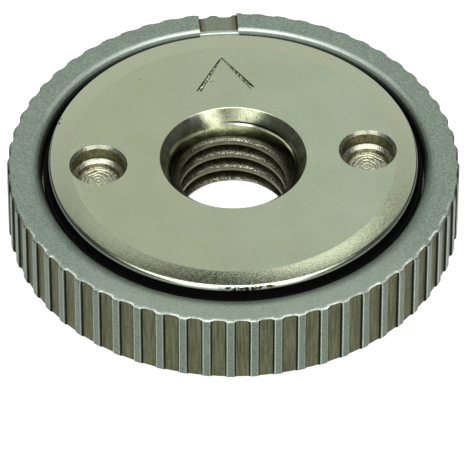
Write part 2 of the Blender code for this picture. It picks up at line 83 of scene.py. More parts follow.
# %% [markdown]
# ## Grids of points
#
# Nearly every surface here is a grid. Its rows run along a profile and its columns run round
# the axis, so the whole shape is one numpy array. This helper joins neighbours in the grid
# with four-sided faces. A grid that closes on itself in both directions is a torus-like skin
# with an inside and an outside, which is what a solid ring of steel needs.
# Doubled points are merged first, and the faces are then turned outwards.

# %% Grid helper
SHARP = np.radians(32.0)


def grid_faces(points, wrap_rows, wrap_columns):
    """Corner numbers of each face: a point, its neighbour in the next row, the one diagonal
    to it, and its neighbour in the next column."""
    rows, columns = points.shape[:2]
    number = np.arange(rows * columns).reshape(rows, columns)
    down = np.roll(number, -1, 0)
    across = np.roll(number, -1, 1)
    diagonal = np.roll(down, -1, 1)
    quads = np.stack([number, across, diagonal, down], -1)
    quads = quads if wrap_rows else quads[:-1]
    quads = quads if wrap_columns else quads[:, :-1]
    return quads.reshape(-1, 4)


def mesh_piece(name, points, faces, sharp=SHARP):
    """A mesh object from an array of points and an array of faces, closed and facing out."""
    mesh = bpy.data.meshes.new(name)
    mesh.from_pydata(points.reshape(-1, 3).tolist(), [], faces.tolist())
    bm = bmesh.new()
    bm.from_mesh(mesh)
    bmesh.ops.remove_doubles(bm, verts=bm.verts, dist=1e-7)
    bmesh.ops.recalc_face_normals(bm, faces=bm.faces)
    bm.to_mesh(mesh)
    bm.free()
    mesh.shade_smooth()
    mesh.set_sharp_from_angle(angle=float(sharp))
    piece = bpy.data.objects.new(name, mesh)
    bpy.context.scene.collection.objects.link(piece)
    return piece


def grid_piece(name, points, wrap_rows=True, wrap_columns=True):
    return mesh_piece(name, points, grid_faces(points, wrap_rows, wrap_columns))


# %% [markdown]
# ## Turned profiles with small roundings
#
# A lathe leaves no perfectly sharp edge, and a small rounding is what catches the light.
# So each profile is a list of corners, and each corner has a setback. The corner is replaced
# by a quadratic Bezier curve: it starts a setback before the corner, is drawn towards the
# corner, and ends a setback after it. All corners are worked out at once.

# %% Rounded profile and turned piece
def rounded(corners, setbacks, steps=4):
    """Each corner P becomes (1-t)^2 A + 2t(1-t) P + t^2 B, with A and B on the two edges that
    meet at P, one setback away from it."""
    corners = np.array(corners, float)
    setbacks = np.broadcast_to(np.array(setbacks, float), len(corners))[:, None]
    before = np.roll(corners, 1, 0) - corners
    after = np.roll(corners, -1, 0) - corners
    start = corners + before / np.linalg.norm(before, axis=1)[:, None] * setbacks
    end = corners + after / np.linalg.norm(after, axis=1)[:, None] * setbacks
    t = np.linspace(0.0, 1.0, steps + 1)[None, :, None]
    curve = (1 - t) ** 2 * start[:, None] + 2 * t * (1 - t) * corners[:, None]
    curve = curve + t**2 * end[:, None]
    return curve.reshape(-1, 2)


def around(profile, angles):
    """Points (r cos a, r sin a, z) for each (r, z) of the profile and each angle a."""
    radius, height = profile[:, :1], profile[:, 1:]
    return np.stack(
        [
            radius * np.cos(angles),
            radius * np.sin(angles),
            np.broadcast_to(height, (len(profile), len(angles))),
        ],
        -1,
    )


def full_circle(steps):
    return np.linspace(0.0, 2 * np.pi, steps, endpoint=False)


def turned(name, corners, setbacks, steps=192, curve_steps=4):
    profile = rounded(corners, setbacks, curve_steps)
    return grid_piece(name, around(profile, full_circle(steps)))


# %% [markdown]
# ## The fluted ring
#
# Sixty flutes run straight down the rim, and narrow ribs stay between them. A Boolean could
# cut them one by one. Here the radius is simply a function of the angle: measured from the
# middle of a rib, the surface stays at full radius, falls down a leaning wall and stays at
# the flute's floor. Folding the angle into one pitch repeats that sixty times. The ring was
# turned with rounded edges first and fluted afterwards, so at each place the smaller of the
# turned radius and the fluted radius holds, and the ribs end flush with the flutes.
# The index notch and the four lug slots inside use doubled columns. Two columns share one
# angle, and only one of them is lowered or pushed out, so a clean vertical wall stands
# between them.

# %% Flute depth round the rim
FLUTES = 60
RIB_PHASE = np.radians(0.75)
FLUTE_DEPTH = 0.35 * MM
PITCH_ANGLE = 2 * np.pi / FLUTES
FROM_RIB = np.array([0.0, 0.2, 0.32, 0.37, 0.41, 0.45, 0.53, 0.58, 0.64, 0.78, 0.95, 1.31]) * MM
DEPTH_SHARE = np.array([0.0, 0.0, 0.02, 0.06, 0.14, 0.30, 0.80, 0.93, 0.98, 1.0, 1.0, 1.0])


def flute_depth(angles):
    """How far the rim lies under full radius, by distance from the nearest rib's middle."""
    folded = (angles - RIB_PHASE + PITCH_ANGLE / 2) % PITCH_ANGLE - PITCH_ANGLE / 2
    return np.interp(np.abs(folded) * RING_TIP_R, FROM_RIB, DEPTH_SHARE * FLUTE_DEPTH)


def soft_depth(angles):
    """The same flute where it runs out at the top: a wave with wide, soft flanks."""
    folded = (angles - RIB_PHASE + PITCH_ANGLE / 2) % PITCH_ANGLE - PITCH_ANGLE / 2
    share = np.clip((np.abs(folded) * RING_TIP_R / MM - 0.15) / 0.80, 0, 1)
    return FLUTE_DEPTH * share * share * (3 - 2 * share)


# %% Columns of the ring's grid
NOTCH_HALF = 2.15 * MM
NOTCH_FLOOR = RING_TOP - 0.5 * MM
NOTCH_EDGE = 0.07 * MM
NOTCH_AT = np.radians(89.55)
SLOT_HALF = 1.65 * MM
SLOT_R = 22.5 * MM
SLOTS_AT = np.pi / 4 + np.arange(4) * np.pi / 2

half_pitch = FROM_RIB / RING_TIP_R
one_rib = np.concatenate([-half_pitch[:0:-1], half_pitch])
rib_middles = RIB_PHASE + np.arange(FLUTES) * PITCH_ANGLE
rib_columns = ((rib_middles[:, None] + one_rib).ravel()) % (2 * np.pi)
notch_turn = np.arcsin(NOTCH_HALF / RING_TIP_R)
edge_turn = np.arcsin((NOTCH_HALF + NOTCH_EDGE) / RING_TIP_R)
notch_columns = NOTCH_AT + np.array([-edge_turn, -notch_turn, notch_turn, edge_turn])
slot_turn = SLOT_HALF / SLOT_R
slot_columns = (SLOTS_AT[:, None] + np.array([-slot_turn, slot_turn])).ravel()

HAIR = 1e-6
plain = np.concatenate([rib_columns, notch_columns])
near_wall = np.concatenate(
    [
        notch_columns[1:3] + np.array([HAIR, -HAIR]),
        slot_columns,
        (SLOTS_AT[:, None] + np.array([-slot_turn + HAIR, slot_turn - HAIR])).ravel(),
    ]
)
ring_angles = np.unique(np.round(np.concatenate([plain, near_wall]), 9))
print("columns round the ring:", len(ring_angles))

# %% [markdown]
# The rows of the ring's grid come from its turned profile. A corner that the eye sees gets
# seven points. A corner inside, which only has a hair-fine setback, keeps the first and the
# last of them, so the grid stays light.

# %% Rows of the ring's grid
LIP_START_R = 22.50 * MM
LIP_FALL = 0.42 * MM
EDGE = 0.40 * MM
LOW_EDGE = 0.55 * MM
NOTCH_FALL_R = 22.20 * MM
SNAP_LOW = 3.88 * MM
SNAP_HIGH = 4.68 * MM
SNAP_R = 22.4 * MM

ring_corners = [
    (RING_TIP_R, RING_LOW),
    (RING_TIP_R, RING_TOP - 1.1 * MM),
    (RING_TIP_R, RING_TOP),
    (RING_TIP_R - 0.7 * MM, RING_TOP),
    (LIP_START_R, RING_TOP),
    (RING_BORE_R, RING_TOP - LIP_FALL),
    (RING_BORE_R, CAM_SEAT_Z),
    (CAM_SEAT_R, CAM_SEAT_Z),
    (CAM_SEAT_R, SNAP_HIGH),
    (SNAP_R, SNAP_HIGH),
    (SNAP_R, SNAP_LOW),
    (CAM_SEAT_R, SNAP_LOW),
    (CAM_SEAT_R, RING_LOW),
    (RING_TIP_R - 0.7 * MM, RING_LOW),
]
small = 0.02 * MM
POINTS_A_CORNER = 7
ring_setbacks = [LOW_EDGE, 0.35 * MM, EDGE, small, 0.36 * MM, 0.36 * MM, small, small, small]
ring_setbacks += [small, small, small, 0.25 * MM, small]
every_row = rounded(ring_corners, ring_setbacks, POINTS_A_CORNER - 1)
every_row = every_row.reshape(len(ring_corners), POINTS_A_CORNER, 2)
kept = np.ones(every_row.shape[:2], bool)
kept[np.array(ring_setbacks) <= small, 1:-1] = False
ring_rows = every_row[kept]
print("rows of the ring:", len(ring_rows))

# %% [markdown]
# Now the profile goes round the axis, and its radius and height change with the angle. The
# notch's walls must be parallel, so a column beside it bends: at a radius r it stands at the
# angle whose sine is half the notch's width over r.

# %% The ring's surface
def ring_points(rows, angles):
    """Radius and height of each row, changed by angle: the rim takes the flute's depth, the
    notch is a ceiling that heights are cut to and that falls towards the bore, and the slots
    push the lower bore out."""
    radius = np.repeat(rows[:, :1], len(angles), 1)
    height = np.repeat(rows[:, 1:], len(angles), 1)
    turn = np.repeat(angles[None, :], len(rows), 0)
    near_end = np.clip((height - (RING_TOP - 0.8 * MM)) / (0.55 * MM), 0, 1)
    depth = (1 - near_end) * flute_depth(angles) + near_end * soft_depth(angles)
    radius = np.minimum(radius, RING_TIP_R - depth)
    side = (angles - NOTCH_AT + np.pi) % (2 * np.pi) - np.pi
    known = np.array([0.0, notch_turn, 2 * notch_turn, np.pi])
    lines = np.arcsin(NOTCH_HALF / radius)
    stretched = np.stack([0 * lines, lines, 0 * lines + known[2], 0 * lines + known[3]], -1)
    place = np.clip(np.searchsorted(known, np.abs(side), "right") - 1, 0, 2)
    share = (np.abs(side) - known[place]) / (known[place + 1] - known[place])
    low = np.take_along_axis(stretched, np.broadcast_to(place, radius.shape)[..., None], 2)
    high = np.take_along_axis(stretched, np.broadcast_to(place + 1, radius.shape)[..., None], 2)
    turn = NOTCH_AT + np.sign(side) * (low[..., 0] + share * (high - low)[..., 0])
    ceiling = np.interp(
        np.abs(side),
        [notch_turn - HAIR, notch_turn - HAIR / 2, notch_turn, edge_turn],
        [NOTCH_FLOOR, RING_TOP - NOTCH_EDGE, RING_TOP - NOTCH_EDGE, RING_TOP],
    )
    in_notch = (ceiling < RING_TOP - NOTCH_EDGE - HAIR)[None, :]
    inwards = np.clip(NOTCH_FALL_R - radius, 0.0, 1.0)
    fall = 0.35 * inwards + 350.0 * inwards**2
    height = np.minimum(height, ceiling[None, :] - in_notch * fall)
    to_slot = np.abs((angles - SLOTS_AT[0] + np.pi / 4) % (np.pi / 2) - np.pi / 4)
    in_slot = to_slot < slot_turn - HAIR / 2
    lower_bore = (rows[:, :1] < SNAP_R + small) & (rows[:, 1:] < CAM_SEAT_Z + small)
    lower_bore = lower_bore & (rows[:, :1] > CAM_SEAT_R - 2 * small)
    radius = np.where(lower_bore & in_slot[None, :], SLOT_R, radius)
    return np.stack([radius * np.cos(turn), radius * np.sin(turn), height], -1)


ring = grid_piece("fluted_ring", ring_points(ring_rows, ring_angles))
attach(ring, "ring")
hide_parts("knurled_ring")
print("ring faces:", len(ring.data.polygons))

# %% [markdown]
# The finish of the ring needs to know where the wall and the flutes are, and which top edge is
# painted bright, partly for wear and partly as a painted highlight. We work that out from each
# point's own place and store it as three attributes, which the material reads.

# %% Attributes on the ring
def store(piece, name, values):
    layer = piece.data.attributes.new(name, "FLOAT", "POINT")
    layer.data.foreach_set("value", np.ascontiguousarray(values, np.float32))


def places(piece):
    """Radius, angle and height of every point of a piece."""
    flat = np.empty(len(piece.data.vertices) * 3, np.float32)
    piece.data.vertices.foreach_get("co", flat)
    x, y, z = flat.reshape(-1, 3).T
    return np.hypot(x, y), np.arctan2(y, x), z


radius, angle, height = places(ring)
notch_floor = (np.abs(height - NOTCH_FLOOR) < 1e-6) & (np.sin(angle) > 0.9)
on_wall = (radius > RING_TIP_R - 0.45 * MM) & (height < RING_TOP - 0.02 * MM) & ~notch_floor
store(ring, "wall", on_wall)
store(ring, "flute", on_wall * np.clip(flute_depth(angle) / FLUTE_DEPTH, 0, 1))
# The top edge is marked for wear and for a painted highlight.
edge_height = RING_TOP - 0.07 * MM * (1 - flute_depth(angle) / FLUTE_DEPTH)
near_edge = np.clip(1.25 - np.abs(height - edge_height) / (0.06 * MM), 0, 1)
near_rim = radius > RING_TIP_R - FLUTE_DEPTH - 0.08 * MM
store(ring, "wear_and_highlight", near_edge * near_rim)

# %% [markdown]
# ## The hub: disc, sleeve and bore
#
# The hub is turned from one bar, so its body is a profile carried round the axis. The two
# spanner holes and the arrow are cut afterwards, as on the real one. A cutter is a closed
# grid too. Its Boolean is applied at once, so the finished piece is a plain mesh.

# %% Hub body
FACE_R = 18.1 * MM
GROOVE_R = 19.6 * MM
LIP_Z = RIM_Z - 0.6 * MM
SHELF_Z = LIP_Z - 1.85 * MM
MOUTH_R = 8.16 * MM
MOUTH_DEPTH = 1.10 * MM
JUNCTION_R = MOUTH_R - MOUTH_DEPTH
EXIT_FLARE = 0.88 * MM
SNAP_GROOVE = (1.45 * MM, 2.25 * MM)
BEHIND_THREAD_R = 7.2 * MM

hub_corners = [
    (MOUTH_R, HUB_FACE),
    (FACE_R, HUB_FACE),
    (RIM_R, RIM_Z),
    (RIM_R, LIP_Z),
    (GROOVE_R, LIP_Z),
    (GROOVE_R, SHELF_Z),
    (SKIRT_R, SHELF_Z),
    (SKIRT_R, UNDER_DISC),
    (SLEEVE_R, UNDER_DISC),
    (SLEEVE_R, SNAP_GROOVE[1]),
    (SLEEVE_R - 0.8 * MM, SNAP_GROOVE[1]),
    (SLEEVE_R - 0.8 * MM, SNAP_GROOVE[0]),
    (SLEEVE_R, SNAP_GROOVE[0]),
    (SLEEVE_R, HUB_FOOT),
    (BEHIND_THREAD_R, HUB_FOOT),
    (BEHIND_THREAD_R, THREAD_TOP - 0.02 * MM),
    (RELIEF_R, THREAD_TOP - 0.02 * MM),
    (JUNCTION_R, HUB_FACE - MOUTH_DEPTH),
]
hub_setbacks = np.full(len(hub_corners), small)
hub_setbacks[0] = 0.10 * MM
hub_setbacks[2] = RIM_ROUND
hub_setbacks[13] = 0.25 * MM
hub_setbacks[17] = 0.80 * MM
hub = turned("threaded_hub_turned", hub_corners, hub_setbacks, steps=240, curve_steps=6)

# %% Boolean cuts, applied at once
def cut(piece, cutter):
    """Takes the cutter's body out of the piece, and removes the cutter."""
    step = piece.modifiers.new("cut", "BOOLEAN")
    step.operation = "DIFFERENCE"
    step.solver = "EXACT"
    step.object = cutter
    bpy.context.view_layer.update()
    evaluated = piece.evaluated_get(bpy.context.evaluated_depsgraph_get())
    result = bpy.data.meshes.new_from_object(evaluated)
    piece.modifiers.remove(step)
    piece.data = result
    bpy.data.objects.remove(cutter, do_unlink=True)


def pole_piece(name, profile, centre, steps):
    """A profile turned round an upright line through the centre. The profile starts and ends
    on that line, so both ends close to a point."""
    points = around(np.array(profile, float), full_circle(steps))
    points = points + np.array(centre)
    return grid_piece(name, points, wrap_rows=False)


# %% [markdown]
# Each spanner hole is a stepped drilling: a polished countersink, a wall, a flat step and a
# cone down to a small floor that an end mill left.

# %% Spanner holes
HOLE_PITCH = 15.0 * MM
HOLE_R = 2.90 * MM
hole_profile = [
    (0.0, 1.0 * MM),
    (HOLE_R + 1.33 * MM, 1.0 * MM),
    (HOLE_R + 0.04 * MM, -0.29 * MM),
    (HOLE_R, -0.35 * MM),
    (HOLE_R, -1.72 * MM),
    (HOLE_R - 0.04 * MM, -1.77 * MM),
    (2.42 * MM, -2.02 * MM),
    (2.36 * MM, -2.07 * MM),
    (2.22 * MM, -2.40 * MM),
    (2.16 * MM, -2.45 * MM),
    (1.0 * MM, -2.52 * MM),
    (0.0, -2.54 * MM),
]
for side in (-1, 1):
    cut(hub, pole_piece("hole_cutter", hole_profile, (side * HOLE_PITCH, 0, HUB_FACE), 96))
print("hub faces after the spanner holes:", len(hub.data.polygons))

# %% [markdown]
# ## The arrow
#
# The arrow that shows which way the ring stands is two engraved strokes that meet at a
# point. A stroke is a shallow groove: four points across, carried along its length. It gets
# wider and deeper towards its end, and the graver's chatter makes the floor wavy.

# %% Engraved arrow
ARROW_TIP = np.array([-0.05, 16.42]) * MM
ARROW_ENDS = np.array([[-2.98, 11.05], [3.05, 11.20]]) * MM


def stroke(name, start, end, narrow, wide, shallow, deep):
    """Points P(t) + s w(t) N for s = -1..1 across the stroke, with half width w and depth d
    growing with t along it, and d also rising and falling with the chatter."""
    t = np.linspace(-0.02, 1.0, 61)[:, None]
    along = end - start
    across = np.array([-along[1], along[0]]) / np.linalg.norm(along)
    half = narrow + (wide - narrow) * np.clip(t, 0, 1) ** 0.7
    chatter = 0.75 + 0.25 * np.cos(2 * np.pi * 9 * t) * np.clip(3 * t, 0, 1)
    depth = (shallow + (deep - shallow) * np.clip(t, 0, 1)) * chatter
    centre = start + t * along
    across_share = np.array([-1.9, -0.62, 0.62, 1.9])
    rise = np.array([1.0, -1.0, -1.0, 1.0])
    flat = centre[:, None, :] + (half * across_share)[:, :, None] * across
    level = np.where(rise > 0, 0.9 * depth, -depth)
    points = np.concatenate([flat, (HUB_FACE + level)[:, :, None]], -1)
    faces = grid_faces(points, False, True).tolist()
    last = points.shape[0] * 4
    mesh = bpy.data.meshes.new(name)
    ends = [[0, 1, 2, 3], [last - 1, last - 2, last - 3, last - 4]]
    mesh.from_pydata(points.reshape(-1, 3).tolist(), [], faces + ends)
    bm = bmesh.new()
    bm.from_mesh(mesh)
    bmesh.ops.recalc_face_normals(bm, faces=bm.faces)
    bm.to_mesh(mesh)
    bm.free()
    piece = bpy.data.objects.new(name, mesh)
    bpy.context.scene.collection.objects.link(piece)
    return piece


for end in ARROW_ENDS:
    cut(hub, stroke("arrow", ARROW_TIP, end, 0.05 * MM, 0.22 * MM, 0.05 * MM, 0.15 * MM))
print("hub faces after the arrow:", len(hub.data.polygons))

# %% [markdown]
# Under the disc, two curved slots hold the return springs, and three round sockets hold the
# guide pins. They stay hidden in use, but the springs and pins need their room.

# %% Spring slots and pin sockets under the disc
SPRING_PATH_R = 17.55 * MM
SPRING_SLOT_HALF = 1.05 * MM
SPRING_SLOT = np.radians(84.0)
SPRING_SLOT_TOP = UNDER_DISC + 2 * SPRING_SLOT_HALF
PIN_PITCH_R = 12.45 * MM


def band(name, low_r, high_r, low, high, middle, sweep, steps=48):
    """A block bent round the axis: a rectangular section carried along an arc, ends closed."""
    angles = middle + np.linspace(-sweep / 2, sweep / 2, steps)
    section = np.array([(low_r, low), (high_r, low), (high_r, high), (low_r, high)])
    points = around(section, angles)
    faces = grid_faces(points, True, False).tolist()
    first = (np.arange(4) * steps).tolist()
    last = [corner + steps - 1 for corner in first]
    mesh_faces = faces + [first[::-1], last]
    return mesh_piece(name, points, np.array(mesh_faces))


for middle in (np.pi / 2, -np.pi / 2):
    low_r, high_r = SPRING_PATH_R - SPRING_SLOT_HALF, SPRING_PATH_R + SPRING_SLOT_HALF
    low = UNDER_DISC - 1.0 * MM
    cut(hub, band("slot_cutter", low_r, high_r, low, SPRING_SLOT_TOP, middle, SPRING_SLOT))

socket_profile = [(0.0, -1.0 * MM), (1.1 * MM, -1.0 * MM), (1.1 * MM, 1.6 * MM), (0.0, 1.6 * MM)]
for turn in np.pi / 2 + np.arange(3) * 2 * np.pi / 3:
    centre = (PIN_PITCH_R * np.cos(turn), PIN_PITCH_R * np.sin(turn), UNDER_DISC)
    cut(hub, pole_piece("socket_cutter", socket_profile, centre, 48))
print("hub faces in all:", len(hub.data.polygons))

# %% [markdown]
# ## The thread
#
# A thread is a notch carried along a helix. On a grid, that means that the height at which a
# row starts rises by one pitch in each full turn. The radius depends only on how far a point
# is along its own turn: crest, flank, root, flank. At both ends a cone opens the bore, and
# the larger of the two radii wins, so the thread fades out as a real one does.
# Rows past an end are squeezed onto it and merged, and the last column of points meets the
# first one a turn higher.

# %% Helical thread
CREST_PHASE = 0.41
THREAD_OUTER_R = 7.3 * MM
flank_end = 0.4375
phase_steps = np.array([0.0, 0.10, 0.125, 0.14, 0.28, 0.42, 0.4375, 0.47, 0.53])
phase_steps = np.concatenate([phase_steps, [0.5625, 0.58, 0.72, 0.86, 0.875, 0.90]])


def thread_radius(phase):
    """Crest radius near phase 0, root radius near phase 1/2, and straight flanks between."""
    from_crest = np.abs((phase + 0.5) % 1.0 - 0.5)
    known = [0.0, 0.10, 0.125, 0.15, 0.42, flank_end, 0.5]
    shares = [0.0, 0.0, 0.02, 0.08, 0.95, 1.0, 1.0]
    return CREST_R + (THREAD_R - CREST_R) * np.interp(from_crest, known, shares)


def thread_points(columns=180):
    """Height z = pitch (turns + angle / full circle), cut to the bore's two ends, and the
    radius that the thread has there, or the end cone's where that is larger."""
    turn = np.linspace(0.0, 1.0, columns + 1)[None, :]
    turns = (np.arange(-2, 6)[:, None] + phase_steps[None, :]).ravel()[:, None]
    height = PITCH * (turns + turn + CREST_PHASE)
    height = np.clip(height, HUB_FOOT, THREAD_TOP)
    radius = thread_radius(height / PITCH - turn - CREST_PHASE)
    exit_cone = CREST_R + EXIT_FLARE - (height - HUB_FOOT)
    top_cone = RELIEF_R - (THREAD_TOP - height) * 1.4
    radius = np.maximum(radius, np.maximum(exit_cone, top_cone))
    ends = np.full((1, columns + 1), THREAD_OUTER_R)
    low, high = np.full_like(ends, HUB_FOOT), np.full_like(ends, THREAD_TOP)
    radius = np.concatenate([ends, radius, ends])
    height = np.concatenate([low, height, high])
    turn = np.broadcast_to(turn, radius.shape) * 2 * np.pi
    return np.stack([radius * np.cos(turn), radius * np.sin(turn), height], -1)


thread = thread_points()
thread_faces = grid_faces(thread, True, False)
thread_piece = mesh_piece("spindle_thread", thread, thread_faces, np.radians(40))
print("thread faces:", len(thread_piece.data.polygons))
for piece in (hub, thread_piece):
    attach(piece, "hub")
    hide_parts("threaded_hub")

# %% [markdown]
# ## The pressure flange and the seals
#
# The flange is turned too. Its flat lower face clamps the disc, so it is ground smooth with
# fine concentric marks. A rubber wiper closes the gap on each side of the mechanism: one
# between hub and ring, and one between flange and ring.

# %% The flange
FLANGE_R = 20.8 * MM
FLANGE_BORE_R = 10.1 * MM
COUNTERBORE_R = 12.0 * MM
SHOULDER_Z = 2.3 * MM
COLLAR_Z = 4.6 * MM
CONE_START_R = 12.4 * MM
CONE_END = (16.4 * MM, COLLAR_Z - 4.0 * MM * 0.5 / 1.2)
flange_corners = [
    (FLANGE_BORE_R, SHOULDER_Z),
    (FLANGE_BORE_R, COLLAR_Z),
    (CONE_START_R, COLLAR_Z),
    CONE_END,
    (FLANGE_R, CONE_END[1]),
    (FLANGE_R, 2.2 * MM),
    (FLANGE_R - 1.2 * MM, 2.2 * MM),
    (FLANGE_R - 1.2 * MM, 1.0 * MM),
    (FLANGE_R, 1.0 * MM),
    (FLANGE_R, 0.0),
    (COUNTERBORE_R, 0.0),
    (COUNTERBORE_R, SHOULDER_Z),
]
flange_setbacks = np.full(len(flange_corners), small)
flange_setbacks[[9, 10]] = 0.25 * MM
flange = turned("pressure_flange_turned", flange_corners, flange_setbacks)
for turn in np.pi / 2 + np.arange(3) * 2 * np.pi / 3:
    centre = (PIN_PITCH_R * np.cos(turn), PIN_PITCH_R * np.sin(turn), SHOULDER_Z + 0.15 * MM)
    pin_profile = np.array(socket_profile)
    pin_profile[:, 1] = [0.0, 0.0, 4.0 * MM, 4.0 * MM]
    cut(flange, pole_piece("pin_hole_cutter", pin_profile, centre, 48))
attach(flange, "flange")
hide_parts("pressure_flange")

# %% The two rubber wipers
seat = 0.15 * MM
wiper_corners = [
    (GROOVE_R + seat, SHELF_Z + seat),
    (RING_BORE_R - seat, SHELF_Z + seat),
    (RING_BORE_R - seat, RING_TOP - 0.85 * MM),
    (RING_BORE_R - 0.25 * MM, RING_TOP - 0.75 * MM),
    (RIM_R + seat, RING_TOP - 0.75 * MM),
    (RIM_R - seat, LIP_Z - seat),
    (GROOVE_R + seat, LIP_Z - seat),
]
wiper = turned("top_wiper", wiper_corners, 0.05 * MM, steps=160)
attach(wiper, "hub")
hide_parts("top_seal")

low_wiper_corners = [
    (FLANGE_R - 1.05 * MM, 1.1 * MM),
    (FLANGE_R + seat, 1.1 * MM),
    (CAM_SEAT_R - seat, 1.25 * MM),
    (CAM_SEAT_R - seat, 2.1 * MM),
    (FLANGE_R - 1.05 * MM, 2.1 * MM),
]
low_wiper = turned("bottom_wiper", low_wiper_corners, 0.05 * MM, steps=160)
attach(low_wiper, "flange")
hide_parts("bottom_seal")
print("flange and wipers made")

# %% [markdown]
# ## Finishes
#
# A metal's look comes from three things: its tint, how rough it is, and the fine relief that
# tools and wear leave. Each finish here is a small graph of nodes on Object coordinates, so
# a pattern stays fixed to the steel. This helper makes a node, sets its values and links its
# inputs in one line, which keeps each finish short enough to read.

# %% Node helper
class Finish:
    """A new material and a short way to add linked nodes to it."""

    def __init__(self, name, metallic=1.0):
        self.material = bpy.data.materials.new(name)
        self.material.use_nodes = True
        self.tree = self.material.node_tree
        self.shader = self.tree.nodes["Principled BSDF"]
        self.shader.inputs["Metallic"].default_value = metallic
        self.place = self.add("ShaderNodeTexCoord").outputs["Object"]

    def add(self, kind, values=None, **links):
        node = self.tree.nodes.new(kind)
        for key, value in (values or {}).items():
            if hasattr(node, key):
                setattr(node, key, value)
            else:
                node.inputs[key].default_value = value
        for key, source in links.items():
            name = int(key[1:]) if key[0] == "i" and key[1:].isdigit() else key.replace("_", " ")
            self.tree.links.new(source, node.inputs[name])
        return node

    def number(self, operation, *values):
        """One step of arithmetic. Each value may be a number or an output."""
        node = self.add("ShaderNodeMath", {"operation": operation})
        for index, value in enumerate(values):
            if isinstance(value, (int, float)):
                node.inputs[index].default_value = value
            else:
                self.tree.links.new(value, node.inputs[index])
        return node.outputs[0]

    def noise(self, scale, detail=2.0, vector=None, rough=0.5):
        values = {"Scale": scale, "Detail": detail, "Roughness": rough}
        node = self.add("ShaderNodeTexNoise", values, Vector=vector or self.place)
        return node.outputs["Fac"]

    def ramp(self, factor, low, high, colours):
        """Two colours, and the stretch of the factor over which one turns into the other."""
        node = self.add("ShaderNodeValToRGB", Fac=factor)
        for element, at, colour in zip(node.color_ramp.elements, (low, high), colours):
            element.position = at
            element.color = (*colour, 1.0)
        return node.outputs["Color"]

    def curve(self, factor, low, high, first, last):
        """A straight line from the first value to the last, level outside low and high."""
        node = self.add("ShaderNodeMapRange", Value=factor)
        values = (("From Min", low), ("From Max", high), ("To Min", first), ("To Max", last))
        for key, value in values:
            node.inputs[key].default_value = value
        return node.outputs["Result"]

    def mix(self, factor, first, second):
        """The first colour where the factor is 0, and the second where it is 1."""
        node = self.add("ShaderNodeMix", {"data_type": "RGBA"})
        for index, source in ((0, factor), (6, first), (7, second)):
            if isinstance(source, tuple):
                node.inputs[index].default_value = (*source, 1.0)
            elif isinstance(source, float):
                node.inputs[index].default_value = source
            else:
                self.tree.links.new(source, node.inputs[index])
        return node.outputs[2]

    def multiply(self, first, second):
        """One colour times another colour or a number, as a dark film over a paint works."""
        node = self.add("ShaderNodeMix", {"data_type": "RGBA", "blend_type": "MULTIPLY"})
        node.inputs[0].default_value = 1.0
        self.tree.links.new(first, node.inputs[6])
        self.tree.links.new(second, node.inputs[7])
        return node.outputs[2]

    def length(self, x, y):
        """The square root of x squared and y squared together."""
        squares = self.number("ADD", self.number("POWER", x, 2.0), self.number("POWER", y, 2.0))
        return self.number("SQRT", squares)

    def radial(self):
        """Distance from the axis, for marks that a lathe left."""
        x, y, _ = self.parts()
        return self.length(x, y)

    def rings(self, scale):
        """Noise that changes with the distance from the axis alone: turning marks."""
        vector = self.add("ShaderNodeCombineXYZ", X=self.radial()).outputs[0]
        return self.noise(scale, 3.0, vector)

    def attribute(self, name):
        return self.add("ShaderNodeAttribute", {"attribute_name": name}).outputs["Fac"]

    def parts(self):
        """The three coordinates of the place, apart."""
        outputs = self.add("ShaderNodeSeparateXYZ", Vector=self.place).outputs
        return outputs["X"], outputs["Y"], outputs["Z"]

    def product(self, *factors):
        result = factors[0]
        for factor in factors[1:]:
            result = self.number("MULTIPLY", result, factor)
        return result

    def between(self, value, low, high, soft):
        """1 where the value lies between two limits, with soft shoulders, and 0 elsewhere."""
        rise = self.curve(value, low - soft, low + soft, 0.0, 1.0)
        return self.product(rise, self.curve(value, high - soft, high + soft, 1.0, 0.0))

    def marks(self, spots, level):
        """1 inside any of the round spots (x, y, size in mm) that lie at one height, broken up
        by a fine noise, and 0 elsewhere."""
        ragged = self.curve(self.noise(9000.0, 2.0), 0.3, 0.7, 0.6, 1.6)
        total = 0.0
        for x, y, size in spots:
            node = self.add("ShaderNodeVectorMath", {"operation": "DISTANCE"}, i0=self.place)
            node.inputs[1].default_value = (x * MM, y * MM, level)
            distance = self.product(node.outputs["Value"], ragged)
            inside = self.curve(distance, size * 0.7 * MM, size * MM, 1.0, 0.0)
            total = self.number("MAXIMUM", inside, total)
        return total

    def relief(self, height, depth):
        """Bump from a height between 0 and 1 that stands for this many metres."""
        node = self.add("ShaderNodeBump", {"Strength": 1.0, "Distance": depth}, Height=height)
        self.tree.links.new(node.outputs["Normal"], self.shader.inputs["Normal"])

    def set(self, **links):
        for key, source in links.items():
            self.tree.links.new(source, self.shader.inputs[key.replace("_", " ")])


# %% [markdown]
# The hub's face was turned flat and then tinted by a thin phosphate bath, which leaves a
# greenish satin with faint clouds. Under it, the lathe's marks still show as hair-fine rings.
# A few specks of dirt lie on it. Each is a round spot whose edge a noise makes ragged.

# %% The satin face
FACE_SPOTS = [(-16.23, 9.21, 0.17), (-5.44, 17.86, 0.14), (-9.4, 13.5, 0.08), (-16.2, -4.0, 0.08)]
FACE_SPOTS += [(-1.55, 12.50, 0.08), (-1.40, 12.56, 0.09), (-1.22, 12.62, 0.08), (12.9, 2.1, 0.07)]
DARK = (0.02, 0.02, 0.012)


